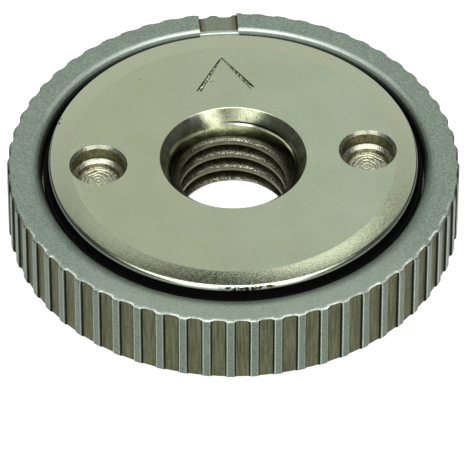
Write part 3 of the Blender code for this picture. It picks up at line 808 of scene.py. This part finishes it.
def satin_face():
    steel = Finish("satin_face_steel")
    clouds = steel.noise(260.0, 4.0)
    grain = steel.noise(6000.0, 3.0, rough=0.65)
    tint = steel.ramp(clouds, 0.35, 0.68, [(0.325, 0.365, 0.250), (0.345, 0.382, 0.268)])
    warm = steel.ramp(steel.noise(900.0, 3.0), 0.50, 0.75, [(1.0, 1.0, 1.0), (1.04, 0.98, 0.90)])
    fine = steel.ramp(grain, 0.30, 0.72, [(0.80, 0.80, 0.80), (1.0, 1.0, 1.0)])
    tint = steel.multiply(steel.multiply(tint, fine), warm)
    tint = steel.mix(steel.marks(FACE_SPOTS, HUB_FACE), tint, DARK)
    # A near-white spot at the arrow's tip: a painted highlight.
    tip_highlight = [(ARROW_TIP[0] / MM, ARROW_TIP[1] / MM + 0.05, 0.14)]
    tint = steel.mix(steel.marks(tip_highlight, HUB_FACE), tint, (0.95, 0.95, 0.9))
    right = steel.curve(steel.parts()[0], -8.0 * MM, 14.0 * MM, 0.0, 1.0)
    cooler = steel.ramp(right, 0.0, 1.0, [(0.99, 1.0, 0.99), (1.01, 1.06, 1.13)])
    tint = steel.multiply(tint, cooler)
    steel.set(Base_Color=tint, Roughness=steel.curve(clouds, 0.3, 0.7, 0.33, 0.40))
    height = steel.number("ADD", steel.product(steel.rings(9000.0), 0.6), grain)
    steel.relief(height, 0.005 * MM)
    return steel.material


# %% [markdown]
# A cone runs round the face. It was cut last, so it is bare and brighter. In front its grain
# is coarse, and elsewhere a calm tint covers most of it. The rounded rim is painted lighter, a
# painted highlight. The wall below it is painted nearly black, painted shade for the dark gap
# that it mirrors, and a thin painted highlight runs along its foot. The rim is chipped in the
# middle of the front.

# %% The bright cone
RIM_SPOTS = [(-18.95, 7.25, 0.26), (-18.65, 7.95, 0.16), (9.8, -18.3, 0.10), (4.2, 18.9, 0.09)]


def bright_cone():
    steel = Finish("bright_cone_steel")
    grain = steel.noise(4400.0, 3.0, rough=0.75)
    tint = steel.ramp(grain, 0.3, 0.7, [(0.225, 0.252, 0.166), (0.375, 0.405, 0.292)])
    x, y, z = steel.parts()
    calm = steel.curve(y, -13.0 * MM, -5.0 * MM, 0.0, 0.75)
    tint = steel.mix(calm, tint, (0.300, 0.330, 0.230))
    tint = steel.mix(steel.marks(RIM_SPOTS, RIM_Z), tint, DARK)
    # Painted highlight: the rounded rim is made lighter.
    on_round = steel.curve(z, RIM_Z - 0.05 * MM, RIM_Z - 0.015 * MM, 1.0, 0.0)
    tint = steel.mix(steel.product(on_round, 0.6), tint, (0.66, 0.68, 0.61))
    # Painted shade: the wall under the rim is made nearly black, the dark gap mirrored in it.
    wall = steel.curve(z, RIM_Z - RIM_ROUND - 0.02 * MM, RIM_Z - RIM_ROUND + 0.12 * MM, 1.0, 0.0)
    tint = steel.mix(wall, tint, (0.012, 0.012, 0.008))
    # Painted highlight: a thin grey line along the wall's foot.
    wall_foot_highlight = steel.curve(z, LIP_Z + 0.02 * MM, LIP_Z + 0.08 * MM, 0.8, 0.0)
    tint = steel.mix(wall_foot_highlight, tint, (0.20, 0.19, 0.12))
    middle = steel.between(x, -2.9 * MM, 2.9 * MM, 0.5 * MM)
    chipped = steel.product(on_round, middle, steel.curve(y, -18.0 * MM, -17.0 * MM, 1.0, 0.0))
    chips = steel.curve(steel.noise(2600.0, 3.0, rough=0.7), 0.47, 0.53, 1.0, 0.0)
    tint = steel.mix(steel.product(chipped, chips), tint, DARK)
    steel.set(Base_Color=tint, Roughness=steel.curve(grain, 0.3, 0.7, 0.09, 0.17))
    rough = steel.product(grain, steel.number("SUBTRACT", 1.0, calm))
    steel.relief(steel.number("ADD", steel.product(steel.rings(7000.0), 0.5), rough), 0.006 * MM)
    return steel.material


# %% [markdown]
# The bore's mouth is polished and a little pitted. Inside, it is painted dark as painted shade,
# except in the one sector where it shines. Where the mouth ends, the tool left a fine dark
# line, and a painted highlight lies under it. Both are marked by their distance from the axis,
# and fade out towards the left.

# %% The bore's mouth
def polished_bore():
    steel = Finish("polished_bore_steel")
    distance = steel.radial()
    x, y, z = steel.parts()
    smear = steel.noise(700.0, 4.0, rough=0.6)
    tint = steel.ramp(smear, 0.3, 0.7, [(0.31, 0.335, 0.19), (0.55, 0.58, 0.43)])
    pits = steel.curve(steel.noise(4200.0, 2.0), 0.30, 0.36, 0.35, 1.0)
    tint = steel.multiply(tint, pits)
    fading = steel.curve(x, -0.8 * MM, 1.0 * MM, 0.0, 1.0)
    # Painted shade: the bore is darkened all round except in the sector where it shines.
    turn = steel.number("SUBTRACT", steel.number("ARCTAN2", y, x), 1.80)
    turn = steel.number("ABSOLUTE", turn)
    inside = steel.curve(distance, JUNCTION_R - 0.15 * MM, JUNCTION_R + 0.5 * MM, 1.0, 0.0)
    overlay = steel.product(steel.curve(turn, 0.25, 0.80, 0.0, 0.85), inside)
    tint = steel.mix(overlay, tint, (0.045, 0.050, 0.022))
    line = steel.between(distance, JUNCTION_R - 0.03 * MM, JUNCTION_R + 0.07 * MM, 0.01 * MM)
    tint = steel.mix(steel.product(line, fading), tint, DARK)
    # Painted highlight just under the tool's line.
    gleam = steel.between(distance, JUNCTION_R - 0.17 * MM, JUNCTION_R - 0.05 * MM, 0.01 * MM)
    tint = steel.mix(steel.product(gleam, fading, 0.9), tint, (1.0, 1.0, 0.92))
    steel.set(Base_Color=tint, Roughness=steel.curve(smear, 0.3, 0.7, 0.12, 0.22))
    vector = steel.add("ShaderNodeCombineXYZ", X=z).outputs[0]
    height = steel.number("ADD", steel.noise(9000.0, 3.0, vector), steel.noise(5000.0, 3.0))
    steel.relief(height, 0.005 * MM)
    return steel.material


# %% [markdown]
# In a spanner hole, the walls are smeared brown and painted darker as painted shade, and the
# countersink, the step and the floor are bright steel painted brighter still as a painted
# highlight. The end mill left ridges on the floor: a sine wave of the distance from the
# hole's middle, bent by a slow noise so that the rings aren't perfect.

# %% A spanner hole
RIDGE_PITCH = 0.42 * MM


def hole_wall():
    steel = Finish("drilled_hole_steel")
    smear = steel.noise(2200.0, 4.0, rough=0.65)
    x, y, z = steel.parts()
    across = steel.number("SUBTRACT", steel.number("ABSOLUTE", x), HOLE_PITCH)
    distance = steel.length(across, y)
    # Painted shade on the walls, and the machined faces made brighter as a painted highlight.
    wall = steel.ramp(smear, 0.3, 0.7, [(0.095, 0.083, 0.040), (0.34, 0.32, 0.205)])
    bright = steel.ramp(smear, 0.3, 0.7, [(0.34, 0.36, 0.26), (0.60, 0.62, 0.50)])
    ledge = steel.between(distance, 2.40 * MM, HOLE_R - 0.03 * MM, 0.02 * MM)
    mouth = steel.curve(distance, HOLE_R + 0.01 * MM, HOLE_R + 0.03 * MM, 0.0, 1.0)
    floor = steel.curve(distance, 2.12 * MM, 2.18 * MM, 1.0, 0.0)
    machined_and_lit = steel.number("MAXIMUM", steel.number("MAXIMUM", ledge, mouth), floor)
    steel.set(Base_Color=steel.mix(machined_and_lit, wall, bright))
    steel.set(Roughness=steel.curve(smear, 0.3, 0.7, 0.20, 0.36))
    swirl = steel.number("ADD", distance, steel.product(steel.noise(1100.0, 2.0), 0.55 * MM))
    wave = steel.number("SINE", steel.product(swirl, 2 * np.pi / RIDGE_PITCH))
    ridges = steel.product(wave, 0.38, floor)
    steel.relief(steel.number("ADD", ridges, steel.noise(6000.0, 3.0)), 0.035 * MM)
    return steel.material


# %% [markdown]
# The thread's roots are full of oil and dirt, so they are nearly black. Spindles have rubbed
# the crests bare, and they sparkle in broken lines. The distance from the axis tells a crest
# from a root.

# %% The thread
def oily_thread():
    steel = Finish("oily_thread_steel")
    distance = steel.radial()
    near_crest = steel.curve(distance, 6.05 * MM, 6.34 * MM, 1.0, 0.08)
    crest = steel.curve(distance, CREST_R + 0.02 * MM, CREST_R + 0.08 * MM, 1.0, 0.0)
    sparkle = steel.curve(steel.noise(7500.0, 3.0, rough=0.8), 0.50, 0.60, 0.0, 1.0)
    dirt = steel.noise(1500.0, 3.0)
    oil = steel.ramp(dirt, 0.35, 0.7, [(0.016, 0.015, 0.008), (0.05, 0.048, 0.026)])
    tint = steel.mix(steel.product(near_crest, sparkle), oil, (0.52, 0.54, 0.42))
    tint = steel.mix(steel.product(crest, 0.7), tint, (0.17, 0.165, 0.09))
    steel.set(Base_Color=tint, Roughness=steel.curve(sparkle, 0.0, 1.0, 0.42, 0.24))
    steel.relief(steel.noise(7000.0, 3.0, rough=0.7), 0.03 * MM)
    return steel.material


# %% [markdown]
# The arrow's groove gets two finishes, one for its steep walls and one for its floor. The
# underside is plain turned steel, where the lathe's rings show.

# %% The arrow's groove and the underside
def groove_wall():
    """The steep sides of the engraved arrow are painted nearly black, as painted shade."""
    steel = Finish("shaded_groove_steel")
    dirt = steel.noise(5000.0, 2.0)
    steel.set(Base_Color=steel.ramp(dirt, 0.3, 0.7, [(0.008, 0.008, 0.004), (0.035, 0.033, 0.018)]))
    steel.shader.inputs["Roughness"].default_value = 0.5
    return steel.material


def groove_floor():
    """The graver's chatter: light steel crossed by darker bars."""
    steel = Finish("chattered_groove_steel")
    bars = steel.noise(4200.0, 1.0)
    tint = steel.ramp(bars, 0.44, 0.54, [(0.05, 0.048, 0.025), (0.36, 0.38, 0.28)])
    steel.set(Base_Color=tint)
    steel.shader.inputs["Roughness"].default_value = 0.35
    return steel.material


def turned_under():
    steel = Finish("turned_under_steel")
    clouds = steel.noise(300.0, 3.0)
    tint = steel.ramp(clouds, 0.3, 0.7, [(0.36, 0.38, 0.31), (0.44, 0.46, 0.39)])
    steel.set(Base_Color=tint, Roughness=steel.curve(clouds, 0.3, 0.7, 0.26, 0.36))
    height = steel.number("ADD", steel.rings(5200.0), steel.noise(5000.0, 2.0))
    steel.relief(height, 0.006 * MM)
    return steel.material


# %% [markdown]
# Which finish a face of the hub gets depends on where it is: on the flat, on the cone, in
# the bore, in a spanner hole or underneath. We read every face's middle as one array and
# sort all of them at once.

# %% Sort the hub's faces
def face_middles(piece):
    flat = np.empty(len(piece.data.polygons) * 3, np.float32)
    piece.data.polygons.foreach_get("center", flat)
    return flat.reshape(-1, 3)


def choose(piece, finishes, numbers):
    piece.data.materials.clear()
    for finish in finishes:
        piece.data.materials.append(finish)
    piece.data.polygons.foreach_set("material_index", numbers.astype(np.int32))


UNDER, FACE, CONE, BORE, HOLE, GROOVE_WALL, GROOVE_FLOOR = range(7)
x, y, z = face_middles(hub).T
flat = np.empty(len(x) * 3, np.float32)
hub.data.polygons.foreach_get("normal", flat)
level_face = flat.reshape(-1, 3)[:, 2] > 0.9
r = np.hypot(x, y)
to_hole = np.hypot(np.abs(x) - HOLE_PITCH, y)
numbers = np.full(len(r), UNDER)
numbers[(z > LIP_Z - 0.01 * MM) & (r > FACE_R - 0.01 * MM)] = CONE
numbers[(r < MOUTH_R + 0.01 * MM) & (z > THREAD_TOP - 0.1 * MM)] = BORE
numbers[(z > HUB_FACE - 0.3 * MM) & (r > MOUTH_R) & (r < FACE_R) & (to_hole > 3.4 * MM)] = FACE
numbers[(z > HUB_FACE - 1e-6) & (r > MOUTH_R) & (r < FACE_R)] = FACE
numbers[(z < HUB_FACE - 1e-6) & (z > UNDER_DISC + 0.5 * MM) & (to_hole < 3.4 * MM)] = HOLE
engraved = (y > 10.4 * MM) & (np.abs(x) < 3.6 * MM) & (r < 16.8 * MM)
engraved &= (z < HUB_FACE - 1e-6) & (z > HUB_FACE - 0.3 * MM)
numbers[engraved] = GROOVE_WALL
numbers[engraved & level_face] = GROOVE_FLOOR
hub_finishes = [turned_under(), satin_face(), bright_cone(), polished_bore(), hole_wall()]
hub_finishes += [groove_wall(), groove_floor()]
choose(hub, hub_finishes, numbers)
choose(thread_piece, [oily_thread()], np.zeros(len(thread_piece.data.polygons)))
choose(flange, [turned_under()], np.zeros(len(flange.data.polygons)))
print("hub faces by finish:", np.bincount(numbers).tolist())

# %% [markdown]
# The cut left the hub's flat face and its cone meeting at only four degrees, far less than
# our limit for a sharp edge. The photograph shows a crisp line there, so those edges are
# marked sharp: every edge whose two ends lie on that circle. The level face itself is
# shaded flat, because its long thin triangles would show as streaks if they were smoothed.

# %% Crisp line between face and cone
def sharpen_circle(piece, circle_r, height, within=0.03 * MM):
    radius, _, level = places(piece)
    on_circle = (np.abs(radius - circle_r) < within) & (np.abs(level - height) < within)
    pairs = np.empty(len(piece.data.edges) * 2, np.int32)
    piece.data.edges.foreach_get("vertices", pairs)
    pairs = pairs.reshape(-1, 2)
    length_marks = on_circle[pairs].all(1)
    sharp = piece.data.attributes.get("sharp_edge")
    sharp = sharp or piece.data.attributes.new("sharp_edge", "BOOLEAN", "EDGE")
    marks = np.zeros(len(pairs), bool)
    sharp.data.foreach_get("value", marks)
    sharp.data.foreach_set("value", marks | length_marks)
    return int(length_marks.sum())


hub.data.shade_smooth()
hub.data.set_sharp_from_angle(angle=float(SHARP))
hub.data.polygons.foreach_set("use_smooth", ~((numbers == FACE) & (z > HUB_FACE - 0.01 * MM)))
flange.data.shade_smooth()
flange.data.set_sharp_from_angle(angle=float(SHARP))
print("edges on the line:", sharpen_circle(hub, FACE_R, HUB_FACE))

# %% [markdown]
# The ring is blasted and phosphated: a matte, bluish grey-green with a fine grain. The
# flutes were broached after that, so their floors are a warmer brown with upright marks.
# The top edge is painted bright in front, partly wear from hands and partly a painted
# highlight, and an attribute on the ring says where.

# %% The blasted skin and the flutes' floors
def blasted_skin(steel, grain, wall, y):
    """Fine grain over clouds, with specks. The ribs are painted darker as painted shade,
    and the top face is painted lighter in front as painted light.
    """
    clouds = steel.noise(420.0, 4.0)
    skin = steel.ramp(grain, 0.33, 0.68, [(0.085, 0.125, 0.09), (0.27, 0.325, 0.27)])
    cloud_tint = steel.ramp(clouds, 0.35, 0.7, [(0.170, 0.215, 0.170), (0.215, 0.265, 0.215)])
    skin = steel.mix(0.25, skin, cloud_tint)
    # Painted shade: the rim's wall is made a little darker.
    skin = steel.mix(steel.product(wall, 0.16), skin, (0.06, 0.08, 0.04))
    # Painted light: the top face is made lighter in front.
    off_wall = steel.curve(wall, 0.0, 1.0, 1.0, 0.0)
    near = steel.product(steel.curve(y, -20.0 * MM, -12.0 * MM, 0.30, 0.0), off_wall)
    skin = steel.mix(near, skin, (0.36, 0.41, 0.34))
    bright_spots = steel.curve(steel.noise(7000.0, 1.0), 0.70, 0.76, 0.0, 0.6)
    skin = steel.mix(bright_spots, skin, (0.50, 0.56, 0.52))
    dark_spots = steel.curve(steel.noise(5000.0, 1.0), 0.23, 0.29, 0.8, 0.0)
    return steel.mix(dark_spots, skin, (0.05, 0.06, 0.045))


def flute_floor(steel, broach):
    """Warm brown with upright marks, and stains of old oil."""
    floor = steel.ramp(broach, 0.3, 0.72, [(0.060, 0.066, 0.032), (0.165, 0.172, 0.100)])
    stains = steel.curve(steel.noise(1800.0, 3.0), 0.56, 0.68, 0.0, 0.6)
    return steel.mix(stains, floor, (0.085, 0.07, 0.035))


# %% [markdown]
# Along the rim, what counts is how far a point is from the middle of its rib. The angle round
# the axis is folded into one pitch, as it was for the shape, and times the radius it is that
# distance. The corner beside a rib gets painted shade, and the rib's two edges get a painted
# highlight.

# %% Rib corners and rubbed edges
def from_nearest_rib(steel, x, y):
    """Angle folded into one pitch, times the radius: below 0 on one side of the rib."""
    turn = steel.number("SUBTRACT", steel.number("ARCTAN2", y, x), float(RIB_PHASE))
    folded = steel.number("WRAP", turn, float(PITCH_ANGLE / 2), float(-PITCH_ANGLE / 2))
    return steel.product(folded, RING_TIP_R)


def painted_corner_shade(steel, from_rib, wall, z):
    """Painted shade: 1 in the corner beside a rib, wider close under the top edge."""
    beside = steel.number("ABSOLUTE", from_rib)
    under_edge = steel.curve(z, RING_TOP - 0.70 * MM, RING_TOP - 0.02 * MM, 0.0, 1.0)
    cubed = steel.number("POWER", under_edge, 3.0)
    reach = steel.number("MULTIPLY_ADD", cubed, 0.22 * MM, 0.55 * MM)
    into_corner = steel.number("SUBTRACT", beside, reach)
    fading = steel.curve(into_corner, 0.0, 0.09 * MM, 1.0, 0.0)
    return steel.product(fading, steel.curve(beside, 0.42 * MM, 0.47 * MM, 0.0, 1.0), wall)


def rubbed_and_lit_edges(steel, from_rib, grain, wall, y):
    """Painted highlights on the rib's two edges, and in patches on the ring's top edge in
    front, which is also partly worn.
    """
    rib_edge = steel.between(from_rib, -0.41 * MM, -0.32 * MM, 0.03 * MM)
    far_edge = steel.between(from_rib, 0.34 * MM, 0.40 * MM, 0.03 * MM)
    edges = steel.number("MAXIMUM", steel.product(rib_edge, 0.50), steel.product(far_edge, 0.30))
    in_front = steel.curve(y, -12.0 * MM, -5.0 * MM, 1.0, 0.0)
    patchy = steel.curve(steel.noise(900.0, 3.0), 0.40, 0.62, 0.25, 0.75)
    rubbed_and_lit = steel.product(steel.attribute("wear_and_highlight"), in_front, patchy)
    rubbed_and_lit = steel.number("MAXIMUM", rubbed_and_lit, steel.product(edges, wall))
    return steel.product(rubbed_and_lit, steel.curve(grain, 0.34, 0.50, 0.30, 1.0))


# %% [markdown]
# The notch's floor is darker. Towards both walls it gets painted shade: brown beside them and
# nearly black in the corners, where some dirt lies too. A mask says what lies in the notch,
# from the height and from the distance to its middle line.

# %% Stains in the notch
def inside_notch(steel, across, y, z):
    mask = steel.between(z, NOTCH_FLOOR - 0.05 * MM, RING_TOP - 0.13 * MM, 0.01 * MM)
    mask = steel.product(mask, steel.curve(y, 20.0 * MM, 20.1 * MM, 0.0, 1.0))
    return steel.product(mask, steel.between(across, -2.2 * MM, 2.2 * MM, 0.02 * MM))


def towards_walls(steel, across, left, right):
    """0 in the notch's middle, rising to 1 over the two stretches near its walls."""
    near_left = steel.curve(across, left[0] * MM, left[1] * MM, 1.0, 0.0)
    near_right = steel.curve(across, right[0] * MM, right[1] * MM, 0.0, 1.0)
    return steel.number("MAXIMUM", near_left, near_right)


def shade_and_dirt_in_notch(steel, body, in_notch, across):
    # Painted shade: brown bands beside both walls, and nearly black corners where some dirt lies
    # too.
    corners = towards_walls(steel, across, (-2.02, -1.90), (1.96, 2.06))
    body = steel.mix(steel.product(in_notch, 0.35), body, (0.12, 0.12, 0.075))
    wall_shade_bands = towards_walls(steel, across, (-1.75, -1.35), (1.35, 1.70))
    body = steel.mix(steel.product(in_notch, wall_shade_bands, 0.65), body, (0.11, 0.085, 0.035))
    return steel.mix(steel.product(in_notch, corners, 0.93), body, (0.016, 0.014, 0.008))


# %% [markdown]
# All of that comes together in one material. The lip round the bore is smoother at the back
# and gets a painted highlight there, and painted shade where it goes down to the seal. What is
# painted bright, for wear and as highlights, is also smoother.

# %% The ring's finish
def phosphated_ring():
    steel = Finish("phosphated_ring_steel")
    wall, flute = steel.attribute("wall"), steel.attribute("flute")
    x, y, z = steel.parts()
    from_rib = from_nearest_rib(steel, x, y)
    grain = steel.noise(4600.0, 3.0, rough=0.75)
    stretch = steel.add("ShaderNodeMapping", {"Scale": (1.0, 1.0, 0.05)}, Vector=steel.place)
    broach = steel.noise(5200.0, 3.0, stretch.outputs[0], rough=0.6)
    body = steel.mix(flute, blasted_skin(steel, grain, wall, y), flute_floor(steel, broach))
    # Painted shade in the corners beside the ribs.
    body = steel.mix(painted_corner_shade(steel, from_rib, wall, z), body, (0.010, 0.011, 0.007))
    across = steel.number("SUBTRACT", x, 23.0 * MM * float(np.cos(NOTCH_AT)))
    in_notch = inside_notch(steel, across, y, z)
    body = shade_and_dirt_in_notch(steel, body, in_notch, across)
    distance = steel.radial()
    # Painted highlight along the inner edge of the notch's floor.
    notch_lip_highlight = steel.product(in_notch, steel.curve(distance, 22.1 * MM, 22.25 * MM, 0.30, 0.0))
    rubbed_and_lit = rubbed_and_lit_edges(steel, from_rib, grain, wall, y)
    rubbed_and_lit = steel.number("MAXIMUM", rubbed_and_lit, notch_lip_highlight)
    # Painted highlight on the lip at the back.
    back_lip_highlight = steel.between(distance, 22.12 * MM, 22.55 * MM, 0.08 * MM)
    back_lip_highlight = steel.product(back_lip_highlight, steel.curve(grain, 0.30, 0.55, 0.55, 1.0))
    back_lip_highlight = steel.product(back_lip_highlight, steel.curve(y, 7.0 * MM, 15.0 * MM, 0.0, 1.0))
    body = steel.mix(steel.product(back_lip_highlight, 0.75), body, (0.42, 0.46, 0.41))
    # Painted shade where the lip goes down at the back.
    behind = steel.curve(y, -10.0 * MM, 0.0, 0.0, 1.0)
    lip_shade = steel.curve(distance, 22.15 * MM, 21.95 * MM, 0.0, 0.45)
    lip_shade = steel.number("ADD", lip_shade, steel.curve(distance, 21.85 * MM, 21.62 * MM, 0.0, 0.5))
    body = steel.mix(steel.product(lip_shade, behind), body, (0.008, 0.008, 0.006))
    steel.set(Base_Color=steel.mix(rubbed_and_lit, body, (0.80, 0.84, 0.80)))
    dull = steel.curve(grain, 0.3, 0.7, 0.44, 0.58)
    shine = steel.number("MAXIMUM", steel.product(back_lip_highlight, 0.24), steel.product(rubbed_and_lit, 0.12))
    steel.set(Roughness=steel.number("SUBTRACT", dull, shine))
    steel.relief(steel.number("ADD", grain, steel.product(broach, flute)), 0.016 * MM)
    return steel.material


choose(ring, [phosphated_ring()], np.zeros(len(ring.data.polygons)))

# %% [markdown]
# Rubber isn't a metal: it is black, dull and a little uneven. The parts inside are ground or
# hardened steel with a film of oil, and the springs are blackened.

# %% Rubber, and the parts inside
def rubber():
    skin = Finish("black_nitrile_rubber", metallic=0.0)
    dust = skin.noise(2500.0, 3.0)
    tint = skin.ramp(dust, 0.45, 0.8, [(0.0015, 0.0015, 0.0015), (0.004, 0.004, 0.004)])
    skin.set(Base_Color=tint, Roughness=skin.curve(dust, 0.3, 0.7, 0.55, 0.8))
    skin.relief(dust, 0.01 * MM)
    skin.shader.inputs["Specular IOR Level"].default_value = 0.03
    return skin.material


def oiled_steel(name, dark, light, smooth, dull, marks=5000.0):
    steel = Finish(name)
    overlay = steel.noise(700.0, 3.0)
    steel.set(
        Base_Color=steel.ramp(overlay, 0.3, 0.7, [dark, light]),
        Roughness=steel.curve(overlay, 0.3, 0.7, smooth, dull),
    )
    steel.relief(steel.noise(marks, 2.0), 0.003 * MM)
    return steel.material


seal_skin = rubber()
for piece in (wiper, low_wiper):
    choose(piece, [seal_skin], np.zeros(len(piece.data.polygons)))

hardened = oiled_steel("hardened_oiled_steel", (0.33, 0.33, 0.31), (0.45, 0.45, 0.43), 0.2, 0.32)
ball_finish = oiled_steel("ball_bearing_steel", (0.6, 0.6, 0.6), (0.68, 0.68, 0.68), 0.06, 0.1)
black = oiled_steel("black_spring_steel", (0.07, 0.07, 0.065), (0.14, 0.14, 0.13), 0.3, 0.45)
inside = {"ball_guide": hardened, "cam_ring": hardened}
inside.update({f"ball_{number}": ball_finish for number in range(1, 7)})
inside.update({f"guide_pin_{number}": hardened for number in range(1, 4)})
inside.update({f"drive_pin_{number}": hardened for number in range(1, 3)})
inside.update({f"return_spring_{number}": black for number in range(1, 3)})
inside.update({"hub_snap_ring": black, "cam_snap_ring": black})
for name, finish in inside.items():
    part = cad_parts[name]
    for slot in part.material_slots:
        slot.material = finish
print("finished parts inside:", len(inside))

# %% [markdown]
# ## Camera
#
# The photograph was taken with a long lens from about 44 degrees above the table. The
# camera's three directions follow from two angles: how high it stands, and how far it is
# round the nut. A small lens shift puts the nut where it sits in the frame.

# %% Camera at the photograph's angle
IMAGE = 470
FOCAL_PIXELS = 6461.6
DISTANCE = 723.5 * MM
HIGH = np.radians(43.853)
ROUND = np.radians(-4.6)
ROLL = np.radians(0.02)
CENTRE_PIXEL = np.array([233.19, 219.31])

right = Vector((np.cos(ROUND), np.sin(ROUND), 0.0))
back = Vector((np.sin(ROUND) * np.cos(HIGH), -np.cos(ROUND) * np.cos(HIGH), np.sin(HIGH)))
up = back.cross(right)
turned_right = right * np.cos(ROLL) + up * np.sin(ROLL)
turned_up = up * np.cos(ROLL) - right * np.sin(ROLL)
camera_data = bpy.data.cameras.new("photo_camera")
camera_data.sensor_width = 36.0
camera_data.lens = FOCAL_PIXELS / IMAGE * camera_data.sensor_width
camera_data.shift_x = float((IMAGE / 2 - CENTRE_PIXEL[0]) / IMAGE)
camera_data.shift_y = float((CENTRE_PIXEL[1] - IMAGE / 2) / IMAGE)
camera_data.clip_start = 0.01
camera = bpy.data.objects.new("photo_camera", camera_data)
bpy.context.scene.collection.objects.link(camera)
place = Vector((0, 0, RING_LOW)) + back * DISTANCE
axes = Matrix((turned_right, turned_up, back)).transposed().to_4x4()
camera.matrix_world = Matrix.Translation(place) @ axes
bpy.context.scene.camera = camera
print("camera at", [round(value, 3) for value in place])

# %% [markdown]
# ## Light
#
# Metal shows what surrounds it, so the light here is a picture of the studio rather than a
# few lamps. Behind the nut hangs a pale backdrop with a dark strip above it, overhead and
# behind the camera are large soft boxes, and the sides are dark. The bright and dark bands
# follow from the angles at which the photograph's faces, cones and roundings mirror them:
# a face that leans by a degree looks two degrees further away.

# %% Studio
class Surroundings(Finish):
    """The same short way to add nodes, for the world round the nut. Its place is the
    direction in which a ray leaves: X to the right, Y away from the camera and Z up."""

    def __init__(self, name):
        self.world = bpy.data.worlds.new(name)
        self.world.use_nodes = True
        self.tree = self.world.node_tree
        self.place = self.add("ShaderNodeTexCoord").outputs["Generated"]

    def levels(self, factor, stops, top):
        """Grey that follows (place, brightness) stops, as a share of the top brightness."""
        node = self.add("ShaderNodeValToRGB", Fac=factor)
        elements = node.color_ramp.elements
        elements[0].position, elements[1].position = stops[0][0], stops[-1][0]
        for element, level in ((elements[0], stops[0][1]), (elements[1], stops[-1][1])):
            element.color = (level / top, level / top, level / top, 1.0)
        for at, level in stops[1:-1]:
            elements.new(at).color = (level / top, level / top, level / top, 1.0)
        return node.outputs["Color"]

    def grey(self, level):
        """A plain grey that may be brighter than white, such as a factor above 1."""
        node = self.add("ShaderNodeCombineXYZ")
        for axis in range(3):
            node.inputs[axis].default_value = level
        return node.outputs[0]

    def patch(self, azimuth, elevation, inner, outer):
        """1 within an angle of a direction and 0 outside a larger one. Azimuth runs from +Y
        towards +X. All angles are in degrees."""
        a, e = np.radians(azimuth), np.radians(elevation)
        node = self.add("ShaderNodeVectorMath", {"operation": "DOT_PRODUCT"}, i0=self.place)
        node.inputs[1].default_value = (np.sin(a) * np.cos(e), np.cos(a) * np.cos(e), np.sin(e))
        limits = float(np.cos(np.radians(outer))), float(np.cos(np.radians(inner)))
        return self.curve(node.outputs["Value"], *limits, 0.0, 1.0)


# %% [markdown]
# The studio is a few lists of stops. Behind the nut, brightness depends on how high a ray
# goes. In front, it also depends on how far to the side, because two soft boxes stand there.
# Two small patches of light behind give the cone its lit left and its crisp bright sector.

# %% Backdrop, soft boxes and patches
BRIGHTEST = 5.5
BACKDROP = [(0.0, 1.0), (0.30, 1.2), (0.52, 1.3), (0.60, 1.3), (0.694, 1.1), (0.74, 0.80)]
BACKDROP += [(0.772, 0.40), (0.785, 0.12), (0.86, 0.12), (0.90, 1.3), (0.94, 4.5), (1.0, 5.5)]
FRONT = [(0.0, 0.5), (0.12, 1.8), (0.50, 2.2), (0.88, 2.3), (0.94, 4.5), (1.0, 5.5)]
BOXES = [(-0.62, 0.06), (-0.50, 0.9), (-0.22, 0.9), (-0.14, 0.35), (0.20, 0.35), (0.30, 1.0)]
BOXES += [(0.48, 1.25), (0.60, 0.06)]

sky = Surroundings("studio")
x, y, z = sky.parts()
behind = sky.levels(z, BACKDROP, BRIGHTEST)
aside = sky.number("ABSOLUTE", sky.number("SUBTRACT", x, 0.06))
overhead = sky.curve(z, 0.86, 0.92, 0.0, 1.0)
side_light = sky.number("MAXIMUM", sky.curve(aside, 0.40, 0.58, 1.0, 0.08), overhead)
behind = sky.multiply(behind, side_light)
before = sky.levels(z, FRONT, BRIGHTEST)
boxes = sky.levels(sky.curve(x, -1.0, 1.0, 0.0, 1.0), [(x / 2 + 0.5, b) for x, b in BOXES], 1.25)
boxes = sky.mix(overhead, boxes, (0.8, 0.8, 0.8))
before = sky.multiply(before, sky.multiply(boxes, sky.grey(1.25)))
light = sky.mix(sky.curve(y, -0.20, 0.10, 1.0, 0.0), behind, before)
light = sky.mix(sky.patch(-4.0, 50.5, 2.2, 3.8), light, (0.24, 0.24, 0.24))
light = sky.mix(sky.patch(11.5, 51.2, 2.8, 3.4), light, (0.60, 0.60, 0.60))
background = sky.tree.nodes["Background"]
background.inputs["Strength"].default_value = BRIGHTEST
sky.tree.links.new(light, background.inputs["Color"])
bpy.context.scene.world = sky.world

# %% [markdown]
# The table is a large sheet of white paper. Right under the nut it glows a little, so that the
# paper stays pure white in the picture as it does in the photograph.

# %% The floor
FLOOR = 3.0
corners = np.array([(-FLOOR, -FLOOR, 0), (FLOOR, -FLOOR, 0), (FLOOR, FLOOR, 0), (-FLOOR, FLOOR, 0)])
floor = mesh_piece("pale_floor", corners, np.array([[0, 1, 2, 3]]))
paper = Finish("white_table_paper", metallic=0.0)
paper.shader.inputs["Base Color"].default_value = (0.2, 0.2, 0.2, 1.0)
paper.shader.inputs["Roughness"].default_value = 0.9
paper.shader.inputs["Emission Color"].default_value = (1.0, 1.0, 1.0, 1.0)
glow = paper.curve(paper.radial(), 0.07, 0.50, 0.97, 0.25)
paper.set(Emission_Strength=glow)
choose(floor, [paper.material], np.zeros(1))

view = bpy.context.scene.view_settings
view.view_transform = "Standard"
view.look = "None"
